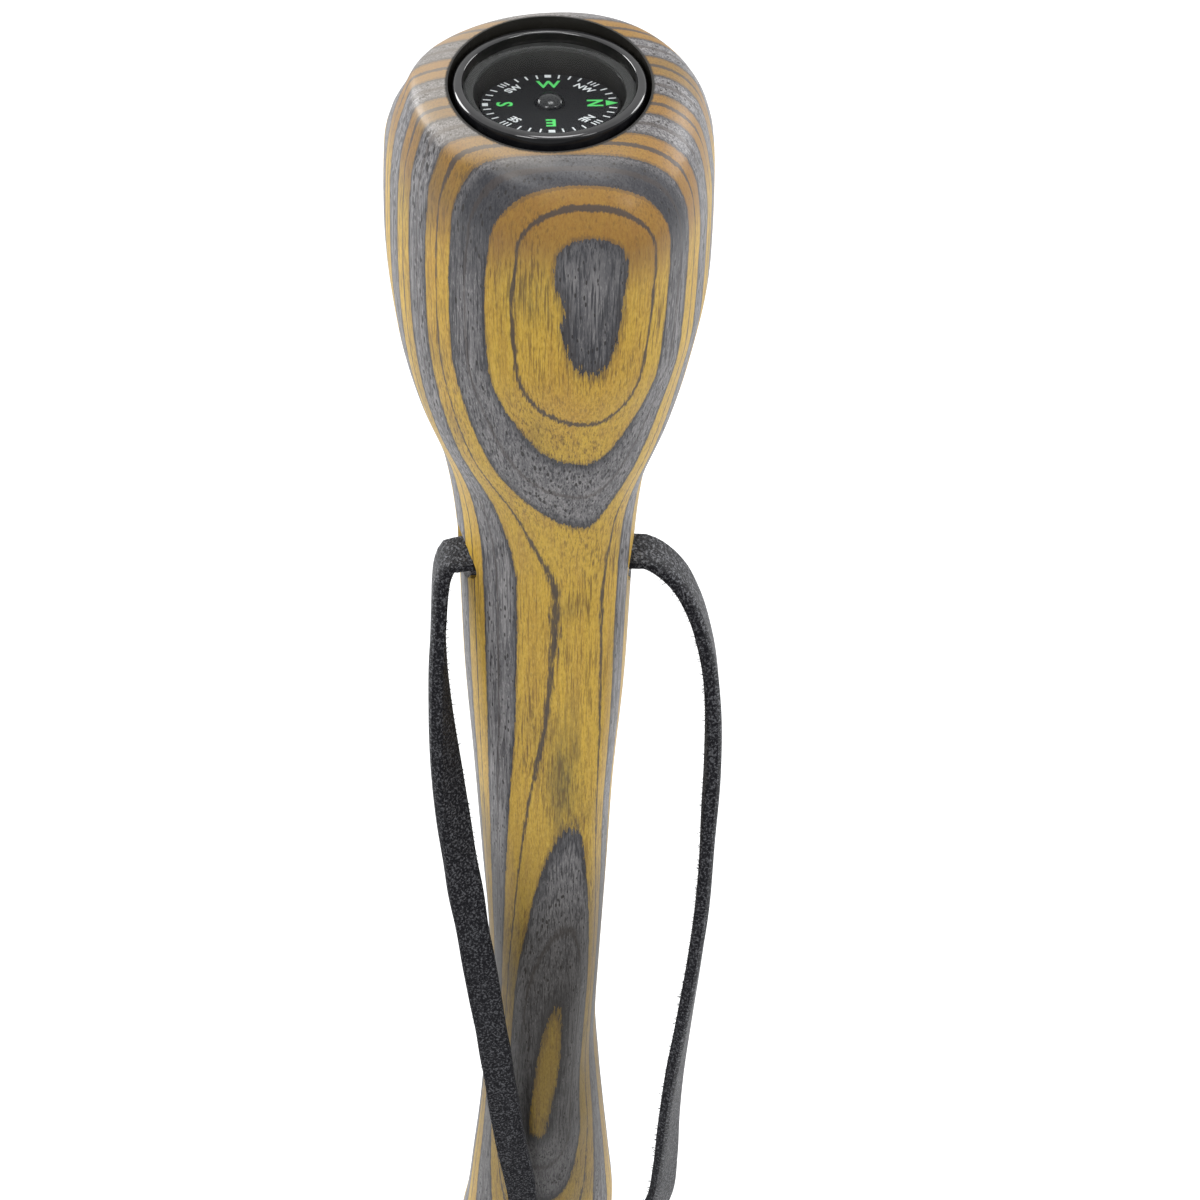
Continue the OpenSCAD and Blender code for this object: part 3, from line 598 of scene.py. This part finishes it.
def hermite(rows, slopes, along, i, u):
    """The cubic between row i and the next, at share u of the way, from the rows' places along a line."""
    h = along[i + 1] - along[i]
    return (
        (1 + 2 * u) * (1 - u) ** 2 * rows[i]
        + u * (1 - u) ** 2 * h * slopes[i]
        + u * u * (3 - 2 * u) * rows[i + 1]
        + u * u * (u - 1) * h * slopes[i + 1]
    )


def spline(points, step):
    """A smooth line through rows of numbers, by chord length, about step apart in the first three."""
    rows = np.array(points, float)
    along = np.concatenate([[0], np.cumsum(np.linalg.norm(np.diff(rows[:, :3], axis=0), axis=1))])
    slopes = np.gradient(rows, along, axis=0)
    at = np.linspace(0, along[-1], max(2, int(round(along[-1] / step)) + 1))
    i = np.clip(np.searchsorted(along, at, side="right") - 1, 0, len(along) - 2)
    u = (at - along[i]) / (along[i + 1] - along[i])
    return hermite(rows, slopes, along[:, None], i, u[:, None])


def lace_section():
    """The strip's section, width by thickness, with rounded corners."""
    corner_r = 0.55 * LACE_T / 2
    x, y = LACE_W / 2 - corner_r, LACE_T / 2 - corner_r
    corners = ((x, y, 0), (-x, y, 90), (-x, -y, 180), (x, -y, 270))
    return [point for cx, cy, turn in corners for point in arc(cx, cy, corner_r, turn, turn + 90, 3)]


SECTION = lace_section()


def lace_frames(line):
    """Position, width and thickness directions along a route of X, Y, Z and turn."""
    place, turn = line[:, :3], np.radians(line[:, 3])
    ahead = np.gradient(place, axis=0)
    ahead /= np.linalg.norm(ahead, axis=1)[:, None]
    wide = np.stack([np.cos(turn), np.sin(turn), np.zeros(len(turn))], axis=1)
    wide -= (wide * ahead).sum(1)[:, None] * ahead
    wide /= np.linalg.norm(wide, axis=1)[:, None]
    return place, ahead, wide, np.cross(ahead, wide)


def fibres_on(verts, faces, frames, raw_side, count, seed):
    """Short loose fibres on the raw side, most of them along its edges, each a tapered three-sided blade."""
    place, ahead, wide, thick = frames
    edge_reach, raw_reach = LACE_W / 2 - 0.25, LACE_T / 2 - 0.12
    corners = [(math.cos(a), math.sin(a)) for a in (0, 2 * math.pi / 3, -2 * math.pi / 3)]
    draw = random.Random(seed)
    for _ in range(count):
        i = draw.randrange(2, len(place) - 2)
        edge = draw.choice((-1, 1)) if draw.random() < 0.6 else draw.uniform(-1, 1)
        root = place[i] + wide[i] * edge * edge_reach + thick[i] * raw_side * raw_reach
        lean = (
            thick[i] * raw_side * draw.uniform(0.5, 1.0)
            + wide[i] * edge * draw.uniform(0.0, 0.7)
            + ahead[i] * draw.uniform(-0.9, 0.9)
        )
        lean /= np.linalg.norm(lean)
        long, half = draw.uniform(0.3, 1.1), draw.uniform(0.035, 0.07)
        side = np.cross(lean, ahead[i] + 0.01)
        side /= np.linalg.norm(side)
        other = np.cross(lean, side)
        at = len(verts)
        verts += [tuple(root + (side * c + other * q) * half) for c, q in corners]
        verts.append(tuple(root + lean * long))
        faces += [(at, at + 1, at + 3), (at + 1, at + 2, at + 3), (at + 2, at, at + 3), (at, at + 2, at + 1)]


def lace(name, shares, raw_side, seed, fibres, step=0.9, lead=0.0, slim=1.0):
    """A stretch of lace along its route, after a straight lead. Returns the object and its path."""
    line = spline([(*route_point(x, y, d), t) for x, y, d, t in shares], step)
    frames = lace_frames(line)
    place, ahead, wide, thick = frames
    unevenness = 0.012
    draw = random.Random(seed)
    waves = [(draw.uniform(0.05, 0.5), draw.uniform(0, 6.3)) for _ in range(6)]
    rings = []
    for i in range(len(line)):
        swell = 1 + unevenness * sum(math.sin(f * i * step + p) for f, p in waves)
        across, deep = wide[i] * swell * slim, thick[i] * (2 - swell) * slim
        rings.append([tuple(place[i] + across * w + deep * t) for w, t in SECTION])
    middles = list(place)
    if lead:
        rings.insert(0, [tuple(np.array(p) - ahead[0] * lead) for p in rings[0]])
        middles.insert(0, place[0] - ahead[0] * lead)
    verts, faces = ring_mesh(rings)
    solid = len(faces)
    fibres_on(verts, faces, frames, raw_side, fibres, seed)
    obj = new_object(name, verts, faces, "strap")
    paint(obj, LEATHER, SUEDE)
    n = len(SECTION)
    for i, polygon in enumerate(obj.data.polygons):
        if i >= solid:
            polygon.material_index = 1
        elif i < (len(rings) - 1) * n:
            # The raw side and the strip's edges are suede
            height = SECTION[i % n][1] + SECTION[(i % n + 1) % n][1]
            polygon.material_index = int(height * raw_side > -0.2)
    smooth(obj, 50)
    return obj, [tuple(p * MM) for p in middles]


def knot_piece():
    """The overhand knot: one strip wound round the two strands, with its ends tucked in."""
    centre = route_point(*KNOT)
    turns, rows = 2.6, 120
    tucked_r, wound_r, wound_h, strand_h = 1.3, 3.55, 9.8, 13.2
    rings = []
    for i in range(rows + 1):
        u = i / rows
        a = 2 * math.pi * turns * u + 0.6
        r = tucked_r + (wound_r - tucked_r) * math.sin(math.pi * u) ** 0.35
        z = wound_h * (0.5 - u) + 0.5 * math.sin(3 * a)
        radial = Vector((math.cos(a), math.sin(a), 0))
        middle = centre + radial * r * (1 + 0.06 * math.sin(2 * a)) + Vector((0, 0, z))
        up = Vector((0, 0, 1)) + 0.25 * radial * math.sin(1.7 * a)
        up.normalize()
        rings.append([tuple(middle + up * w * 0.92 + radial * t) for w, t in SECTION])
    verts, faces = ring_mesh(rings)
    # The strands that pass through the middle of the knot, from above to below
    for above, below in (((-2.6, 0.0), (-2.6, -1.6)), ((2.6, 0.0), (2.4, 1.2))):
        strand = []
        for u in np.linspace(0, 1, 13):
            x, y = (a + (b - a) * u for a, b in zip(above, below))
            p = centre + Vector((x, y, strand_h * (0.5 - u)))
            strand.append([tuple(p + Vector((w * 0.8, t * 0.9, 0))) for w, t in SECTION])
        more, their = ring_mesh(strand)
        at = len(verts)
        verts += more
        faces += [tuple(at + i for i in f) for f in their]
    obj = new_object("strap_knot_wraps", verts, faces, "strap")
    paint(obj, LEATHER)
    smooth(obj, 50)
    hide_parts("strap_knot")
    return obj


def make_strap():
    """The knot, the legs, which begin inside the hole, the tails, and the slimmer stretch in the hole."""
    knot = knot_piece()
    for side, shares, raw, seed in (("left", LEFT_LEG, 1, 11), ("right", RIGHT_LEG, -1, 12)):
        obj, path = lace(f"strap_{side}_lace", shares, raw, seed, fibres=700, lead=5.0)
        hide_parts(f"strap_{side}_leg")
    for side, shares, raw, seed in (("left", LEFT_TAIL, 1, 13), ("right", RIGHT_TAIL, -1, 14)):
        obj, path = lace(f"strap_{side}_end", shares, raw, seed, fibres=110)
        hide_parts(f"strap_{side}_tail")
    obj, _ = lace("strap_through_neck", BIGHT, -1, 15, fibres=0, slim=0.88)
    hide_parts("strap_bight")


make_strap()


# The carved wood

def carving():
    """Rows of height, left, right, front, back, ridge and widest line in millimetres, close together."""
    rows = [(WOOD_Z + h * CARVED_L, *(v * SHAFT_D for v in rest)) for h, *rest in SHAFT_SHARES]
    head = (HEAD_W, HEAD_W, HEAD_DEPTH, HEAD_DEPTH, HEAD_W, HEAD_DEPTH)
    rows += [(NECK_Z + h * HEAD_H, *(v * size for v, size in zip(rest, head))) for h, *rest in HEAD_SHARES]
    rows = np.array(rows, float)
    step = np.diff(rows, axis=0)
    chord = np.sqrt(step[:, 0] ** 2 + (step[:, 1:5].mean(axis=1)) ** 2)
    along = np.concatenate([[0], np.cumsum(chord)])
    slopes = monotone_slopes(along, rows)
    # How far apart the rows are, up to each height
    pitches = ((NECK_Z - 30, 2.5), (STAFF_L - 12, 1.2), (STAFF_L, 0.45))
    out = []
    for i in range(len(rows) - 1):
        pitch = next(p for below, p in pitches if rows[i][0] < below)
        steps = max(1, int(math.ceil(chord[i] / pitch)))
        out += [hermite(rows, slopes, along, i, k / steps) for k in range(steps)]
    out.append(rows[-1])
    return [r for r in out if r[0] >= TIP_H]


def monotone_slopes(along, rows):
    """Slopes at the rows that let no stretch between two rows overshoot them."""
    gaps = np.diff(along)[:, None]
    rises = np.diff(rows, axis=0) / gaps
    before, after = rises[:-1], rises[1:]
    weight_before, weight_after = 2 * gaps[1:] + gaps[:-1], gaps[1:] + 2 * gaps[:-1]
    with np.errstate(divide="ignore", invalid="ignore"):
        means = (weight_before + weight_after) / (weight_before / before + weight_after / after)
    return np.concatenate([rises[:1], np.where(before * after > 0, means, 0), rises[-1:]])


def signed_power(value, power):
    return math.copysign(abs(value) ** power, value)


SIDES = 96


def carved_ring(z, left, right, front, back, ridge, widest):
    """A level section: four quarters of a superellipse that meet at the ridge and the widest line."""
    power = 2 / SQUARENESS
    ring = []
    for k in range(SIDES):
        angle = 2 * math.pi * k / SIDES
        cosine, sine = math.cos(angle), math.sin(angle)
        across = right - ridge if cosine > 0 else left + ridge
        deep = back - widest if sine > 0 else front + widest
        x = ridge + across * signed_power(cosine, power)
        y = widest + deep * signed_power(sine, power)
        ring.append((x, y, z))
    return ring


def circle_like(ring, r, z):
    """A circle whose points lie at the angles of another ring's points."""
    return [(r * x / math.hypot(x, y), r * y / math.hypot(x, y), z) for x, y, _ in ring]


def wood_mesh():
    """The whole carved wood as one mesh, before it is cut into its bands."""
    rings = [carved_ring(*r) for r in carving()]
    foot = circle_like(rings[0], SHAFT_D / 2, WOOD_Z)
    shoulder = circle_like(rings[0], SHAFT_D / 2, TIP_H)
    body = new_object("wood_blank", *ring_mesh([foot, shoulder, *rings]))
    # The strap's hole has flared ends that ease its edges
    eased_end = [(STRAP_HOLE_R, 9.6), (4.1, 10.6), (22.0, 30.0)]
    bar_rings = turned([(r, -x) for r, x in reversed(eased_end)] + eased_end, SIDES)
    across = [[(z, x, STRAP_Z + y) for x, y, z in ring] for ring in bar_rings]
    upright = turned([(SOCKET_R, SOCKET_Z), (SOCKET_R, STAFF_L + 3)], SIDES)
    cutters = [
        new_object("strap_hole_cutter", *ring_mesh(across)), new_object("socket_cutter", *ring_mesh(upright))]
    cutters[1].data.transform(CASE_PLACE)
    for cutter in cutters:
        cut = body.modifiers.new(cutter.name, "BOOLEAN")
        cut.object, cut.operation, cut.solver = cutter, "DIFFERENCE", "EXACT"
    mesh = bpy.data.meshes.new_from_object(body.evaluated_get(bpy.context.evaluated_depsgraph_get()))
    for o in (body, *cutters):
        old = o.data
        bpy.data.objects.remove(o)
        bpy.data.meshes.remove(old)
    mesh.shade_smooth()
    mesh.set_sharp_from_angle(angle=math.radians(32))
    return mesh


class Shading:
    """The whole wood's normals, for any point of its surface."""

    def __init__(self, mesh):
        self.corners = [Vector(n.vector) for n in mesh.corner_normals]
        self.polygons = [tuple(p.vertices) for p in mesh.polygons]
        self.starts = [p.loop_start for p in mesh.polygons]
        self.points = [v.co.copy() for v in mesh.vertices]
        self.tree = BVHTree.FromPolygons(self.points, self.polygons)

    def normal(self, near, point):
        """The normal at a point of polygon near, blended from its corners."""
        shares = poly_3d_calc([self.points[v] for v in self.polygons[near]], point)
        start = self.starts[near]
        return sum((w * self.corners[start + k] for k, w in enumerate(shares)), Vector()).normalized()

    def copy_to(self, mesh, planes):
        """Gives a piece of the wood the whole's normals, apart from its flat faces on planes across Y."""
        normals = [None] * len(mesh.loops)
        for p in mesh.polygons:
            near = self.tree.find_nearest(p.center)[2]
            on_plane = abs(p.normal.y) > 0.999 and round(p.center.y / MM, 4) in planes
            for loop in p.loop_indices:
                point = mesh.vertices[mesh.loops[loop].vertex_index].co
                normals[loop] = tuple(p.normal if on_plane else self.normal(near, point))
        mesh.normals_split_custom_set(normals)


def cut_at(bm, y, keep_back):
    """Cuts a closed mesh by a plane across Y, keeps what is behind or before it, and closes it again."""
    cut = bmesh.ops.bisect_plane(
        bm, geom=bm.verts[:] + bm.edges[:] + bm.faces[:], dist=1e-8, plane_co=(0, y * MM, 0),
        plane_no=(0, 1, 0), clear_inner=keep_back, clear_outer=not keep_back)
    rim = [e for e in cut["geom_cut"] if isinstance(e, bmesh.types.BMEdge)]
    bmesh.ops.triangle_fill(bm, edges=rim, use_beauty=False, normal=(0, -1 if keep_back else 1, 0))


def make_bands():
    """Cuts the wood into its bands. Each keeps the whole wood's shading, so no seam shows in the varnish."""
    whole = wood_mesh()
    shading = Shading(whole)
    source = bmesh.new()
    source.from_mesh(whole)
    for band in range(1, BANDS + 1):
        bm = source.copy()
        low = FIRST_JOINT_Y + (band - 2) * BAND_T
        if band > 1:
            cut_at(bm, low, True)
        if band < BANDS:
            cut_at(bm, low + BAND_T, False)
        bmesh.ops.recalc_face_normals(bm, faces=bm.faces[:])
        name = f"veneer_band_{band:02d}"
        mesh = bpy.data.meshes.new(f"carved_{name}")
        bm.to_mesh(mesh)
        bm.free()
        mesh.shade_smooth()
        shading.copy_to(mesh, {round(low, 4), round(low + BAND_T, 4)})
        obj = link(f"carved_{name}", mesh, "staff")
        paint(obj, WOOD)
        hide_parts(name)
    source.free()
    bpy.data.meshes.remove(whole)


make_bands()


# The compass

def make_case():
    """The black bowl. The lip that the light catches is polished, and the bowl under the lens is matt."""
    foot, edge, lip, fillet, chamfer, polished = 0.3, 0.45, 0.2, 0.6, 0.15, 0.22
    case = lathe("compass_housing", [
        (0, CASE_Z), (CASE_R - foot, CASE_Z), (CASE_R, CASE_Z + foot),
        *arc(CASE_R - edge, RIM_Z - edge, edge, 0, 90, 8),
        *arc(SEAT_R + lip, RIM_Z - lip, lip, 90, 180, 5),
        (SEAT_R, SEAL_Z), (BOWL_R + chamfer, SEAL_Z), (BOWL_R, SEAL_Z - chamfer),
        (BOWL_R, FLOOR_Z + fillet), *arc(BOWL_R - fillet, FLOOR_Z + fillet, fillet, 0, -90, 5), (0, FLOOR_Z),
    ], "staff", CASE_PLACE, 128)
    paint(case, CASE, LIP, BOWL)
    level = CASE_PLACE.inverted()
    for polygon in case.data.polygons:
        at = level @ polygon.center / MM
        if at.z > RIM_Z - polished:
            polygon.material_index = 1
        elif math.hypot(at.x, at.y) < SEAT_R and at.z > CASE_Z + 0.5:
            polygon.material_index = 2
    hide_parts("compass_case")


def make_lens():
    """The clear dome and the liquid as one body of glass. It reaches a little into the case, so no air shows
    between them."""
    top, sink, edge, steps = LENS_Z + LENS_EDGE_T, 0.05, 0.4, 20
    dome_r = LENS_R - edge
    shares = [1 - k / steps for k in range(steps)]
    lens = lathe("lens_and_liquid", [
        (0, FLOOR_Z - sink), (BOWL_R + sink, FLOOR_Z - sink), (BOWL_R + sink, SEAL_Z - sink),
        (SEAT_R + sink, SEAL_Z - sink), (SEAT_R + sink, top - edge - sink),
        *arc(dome_r, top - edge, edge, 0, 72, 6),
        *[(dome_r * u, top + LENS_RISE * (1 - u ** 2)) for u in shares], (0, top + LENS_RISE),
    ], "staff", CASE_PLACE, 128)
    paint(lens, CLEAR)
    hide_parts("compass_lens")


def make_dial():
    """The hub's round cap on its neck, and the card with its eased edge."""
    card_top, neck_r, ease = DIAL_Z + DIAL_T, HUB_NECK_R - 0.03, 0.06
    hub = lathe("hub_cap", [
        (0, DIAL_Z - MAGNET_T), (neck_r, DIAL_Z - MAGNET_T), (neck_r, card_top), (HUB_R, card_top),
        *[(HUB_R * math.cos(math.radians(a)), card_top + HUB_RISE * math.sin(math.radians(a)))
          for a in range(8, 90, 8)],
        (0, card_top + HUB_RISE),
    ], "dial", DIAL_PLACE, 64)
    paint(hub, HUB)
    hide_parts("dial_hub")
    card = lathe("dial_card", [
        (HUB_NECK_R, DIAL_Z), (DIAL_R - ease, DIAL_Z), (DIAL_R, DIAL_Z + ease), (DIAL_R, card_top - ease),
        (DIAL_R - ease, card_top), (HUB_NECK_R, card_top),
    ], "dial", DIAL_PLACE, 128)
    paint(card, CARD)
    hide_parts("compass_dial")


def paint_inner_nodes():
    """The CAD's own solids that stay in the picture, inside the compass and the tip."""
    for name, material in (("lens_seal", SEAL), ("compass_adhesive", ADHESIVE), ("pivot_pin", STEEL),
                           ("dial_magnet", MAGNET), ("tip_washer", STEEL)):
        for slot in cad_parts[name].material_slots:
            slot.material = material


# The dial's marks: height and thickness of the ink, inner and outer radius of the ticks, half their widths,
# then radius and size of the letters
INK_Z, INK_T = DIAL_Z + DIAL_T - 0.005, 0.03
TICK_IN, TICK_OUT, TICK_HALF, FINE_HALF, BROAD_HALF = 6.15, 6.95, 0.09, 0.08, 0.34
LETTER_R, LETTER_SIZE, PAIR_R, PAIR_SIZE = 4.55, 2.3, 5.15, 1.35


def bar(verts, faces, r0, r1, half, heading):
    """A thin raised bar from radius r0 to r1 at a compass heading, N at +X and clockwise from above."""
    a = -math.radians(heading)
    out, side = Vector((math.cos(a), math.sin(a), 0)), Vector((-math.sin(a), math.cos(a), 0))
    at = len(verts)
    for z in (INK_Z, INK_Z + INK_T):
        for r, h in ((r0, -half), (r1, -half), (r1, half), (r0, half)):
            p = out * r + side * h
            verts.append((p.x, p.y, z))
    faces += [tuple(at + i for i in f) for f in (
        (3, 2, 1, 0), (4, 5, 6, 7), (0, 1, 5, 4), (1, 2, 6, 5), (2, 3, 7, 6), (3, 0, 4, 7))]


def letters(name, text, radius, size, heading, material):
    """Raised letters whose tops point outwards."""
    curve = bpy.data.curves.new(name, "FONT")
    curve.body, curve.size, curve.align_x, curve.align_y = text, size, "CENTER", "CENTER"
    curve.extrude, curve.offset, curve.resolution_u = INK_T / 2, 0.02 * size, 3
    text_obj = bpy.data.objects.new(name, curve)
    bpy.context.scene.collection.objects.link(text_obj)
    mesh = bpy.data.meshes.new_from_object(text_obj.evaluated_get(bpy.context.evaluated_depsgraph_get()))
    bpy.data.objects.remove(text_obj)
    bpy.data.curves.remove(curve)
    a = -math.radians(heading)
    place = (
        Matrix.Translation(Vector((radius * math.cos(a), radius * math.sin(a), INK_Z + INK_T / 2)))
        @ Matrix.Rotation(a - math.pi / 2, 4, "Z")
    )
    mesh.transform(DIAL_PLACE @ Matrix.Scale(MM, 4) @ place)
    obj = link(name, mesh, "dial")
    paint(obj, material)


def make_marks():
    """White ticks, a green arrow at north and the letters of the headings."""
    verts, faces = [], []
    for quarter in range(0, 360, 90):
        for off in (10, 20, 30, 60, 70, 80):
            bar(verts, faces, TICK_IN, TICK_OUT, TICK_HALF, quarter + off)
        for off in (41, 45, 49):
            bar(verts, faces, TICK_IN, TICK_OUT, FINE_HALF, quarter + off)
        if quarter:
            bar(verts, faces, TICK_IN + 0.2, TICK_OUT, BROAD_HALF, quarter)
    ticks = new_object("dial_ticks", verts, faces, "dial")
    ticks.data.transform(DIAL_PLACE)
    paint(ticks, WHITE_INK)
    outline = ((5.75, 0.62), (5.75, -0.62), (7.0, 0.0))
    verts = [(r, h, z) for z in (INK_Z, INK_Z + INK_T) for r, h in outline]
    faces = [(0, 2, 1), (3, 4, 5), (0, 1, 4, 3), (1, 2, 5, 4), (2, 0, 3, 5)]
    arrow = new_object("north_arrow", verts, faces, "dial")
    arrow.data.transform(DIAL_PLACE)
    paint(arrow, GREEN_INK)
    for text, heading in (("N", 0), ("E", 90), ("S", 180), ("W", 270)):
        letters(f"letter_{text}", text, LETTER_R, LETTER_SIZE, heading, GREEN_INK)
    for text, heading in (("NE", 45), ("SE", 135), ("SW", 225), ("NW", 315)):
        letters(f"letters_{text}", text, PAIR_R, PAIR_SIZE, heading, WHITE_INK)


make_case()
make_lens()
make_dial()
make_marks()
paint_inner_nodes()


# The rubber tip

def make_tip():
    """The fluted rubber tip, with its bore, as one closed body."""
    segments, flutes, flute_depth, rib_share = 288, 24, 0.5, 0.4
    bore_r, bore_z, foot_r, mouth_r = SHAFT_D / 2 + 0.05, 8.0, 3.9, 0.4
    # r, z and how much of a flute's depth is cut there: the flat face and the rounded foot
    profile = [(0.0, 0.0, 0), (11.2, 0.0, 0)]
    profile += [(r, z, 0) for r, z in arc(11.8, foot_r, foot_r, -90, 0, 10)]
    # The waist and the fluted wall
    profile += [
        (15.65, 4.9, 0), (15.3, 5.7, 0.1), (14.95, 6.6, 0.5), (14.8, 7.6, 1), (14.72, 9.0, 1),
        (14.72, 14.0, 1), (14.78, 20.0, 1), (14.8, 25.0, 1), (14.8, 26.4, 1), (14.75, 26.9, 0.6),
        (14.55, 27.3, 0.1)]
    # The groove, the bead round the mouth and the bore
    profile += [(14.0, 27.6, 0), (13.85, 27.9, 0), (14.0, 28.2, 0), (14.25, 28.6, 0)]
    profile += [(r, z, 0) for r, z in arc(12.6, 29.9, 2.0, -10, 90, 8)]
    profile += [(r, z, 0) for r, z in arc(bore_r + mouth_r, TIP_H - mouth_r, mouth_r, 90, 180, 4)]
    profile += [(bore_r, bore_z, 0), (0.0, bore_z, 0)]
    angles = [2 * math.pi * k / segments for k in range(segments)]
    shares = [(k * flutes / segments) % 1.0 for k in range(segments)]
    hollows = [math.sin(math.pi * max(0.0, u - rib_share) / (1 - rib_share)) for u in shares]
    rings = []
    for r, z, cut in profile:
        radii = [r - cut * flute_depth * hollow for hollow in hollows]
        rings.append([(radius * math.cos(a), radius * math.sin(a), z) for radius, a in zip(radii, angles)])
    tip = new_object("fluted_tip", *ring_mesh(rings), "staff")
    smooth(tip, 40)
    paint(tip, RUBBER)
    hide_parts("rubber_tip")


make_tip()


# The stage

FLOOR_HALF = 6000


def make_floor():
    """A pale floor that glows for the rays that see white, so it is white but for the staff's shadow."""
    corners = [(x * FLOOR_HALF, y * FLOOR_HALF, 0) for x, y in ((-1, -1), (1, -1), (1, 1), (-1, 1))]
    floor = new_object("floor", corners, [(0, 1, 2, 3)])
    s = Shader("pale_floor")
    lit = s.node("ShaderNodeBsdfDiffuse", {"Color": (0.86, 0.86, 0.86)})
    # Far from the lamps, in metres, it needs more of its own white
    far = s.node("ShaderNodeVectorMath", {0: s.object}, operation="LENGTH").outputs["Value"]
    white = s.times(s.sees_white(), s.span(far, 0.6, 2.4, 0.42, 0.62))
    glow = s.node("ShaderNodeEmission", {"Color": (1, 1, 1), "Strength": white})
    both = s.node("ShaderNodeAddShader", {0: lit.outputs[0], 1: glow.outputs[0]})
    paint(floor, s.done(both.outputs[0]))


def make_world():
    """White for the rays that see it, and a dimmer, cooler light for all others."""
    s = Shader("studio", world=True)
    dim = s.node("ShaderNodeBackground", {"Color": (0.96, 0.98, 1.0), "Strength": 0.42})
    white = s.node("ShaderNodeBackground", {"Color": (1, 1, 1), "Strength": 1.0})
    both = s.node("ShaderNodeMixShader", {0: s.sees_white(), 1: dim.outputs[0], 2: white.outputs[0]})
    bpy.context.scene.world = s.done(both.outputs[0])


def make_lamps():
    """Round soft lamps, in metres and watts."""
    for name, place, aim_z, size, watts in (
        ("key", (-0.8, -1.3, 2.3), 1.1, 0.7, 12.0),
        ("fill", (1.2, -1.2, 2.1), 1.0, 0.6, 8.0),
        ("top", (0.1, -0.05, 2.6), 1.2, 0.8, 12.0),
        ("left", (-1.35, 0.85, 1.55), 1.1, 0.9, 21.0),
        ("right", (1.45, 0.7, 1.4), 1.1, 0.9, 14.0),
    ):
        data = bpy.data.lights.new(name, "AREA")
        data.shape, data.size, data.energy = "DISK", size, watts
        lamp = bpy.data.objects.new(name, data)
        lamp.location = place
        lamp.rotation_euler = (Vector((0, 0, aim_z)) - Vector(place)).to_track_quat("-Z", "Y").to_euler()
        bpy.context.scene.collection.objects.link(lamp)


bpy.context.scene.view_settings.view_transform = "Standard"
make_floor()
make_world()
make_lamps()
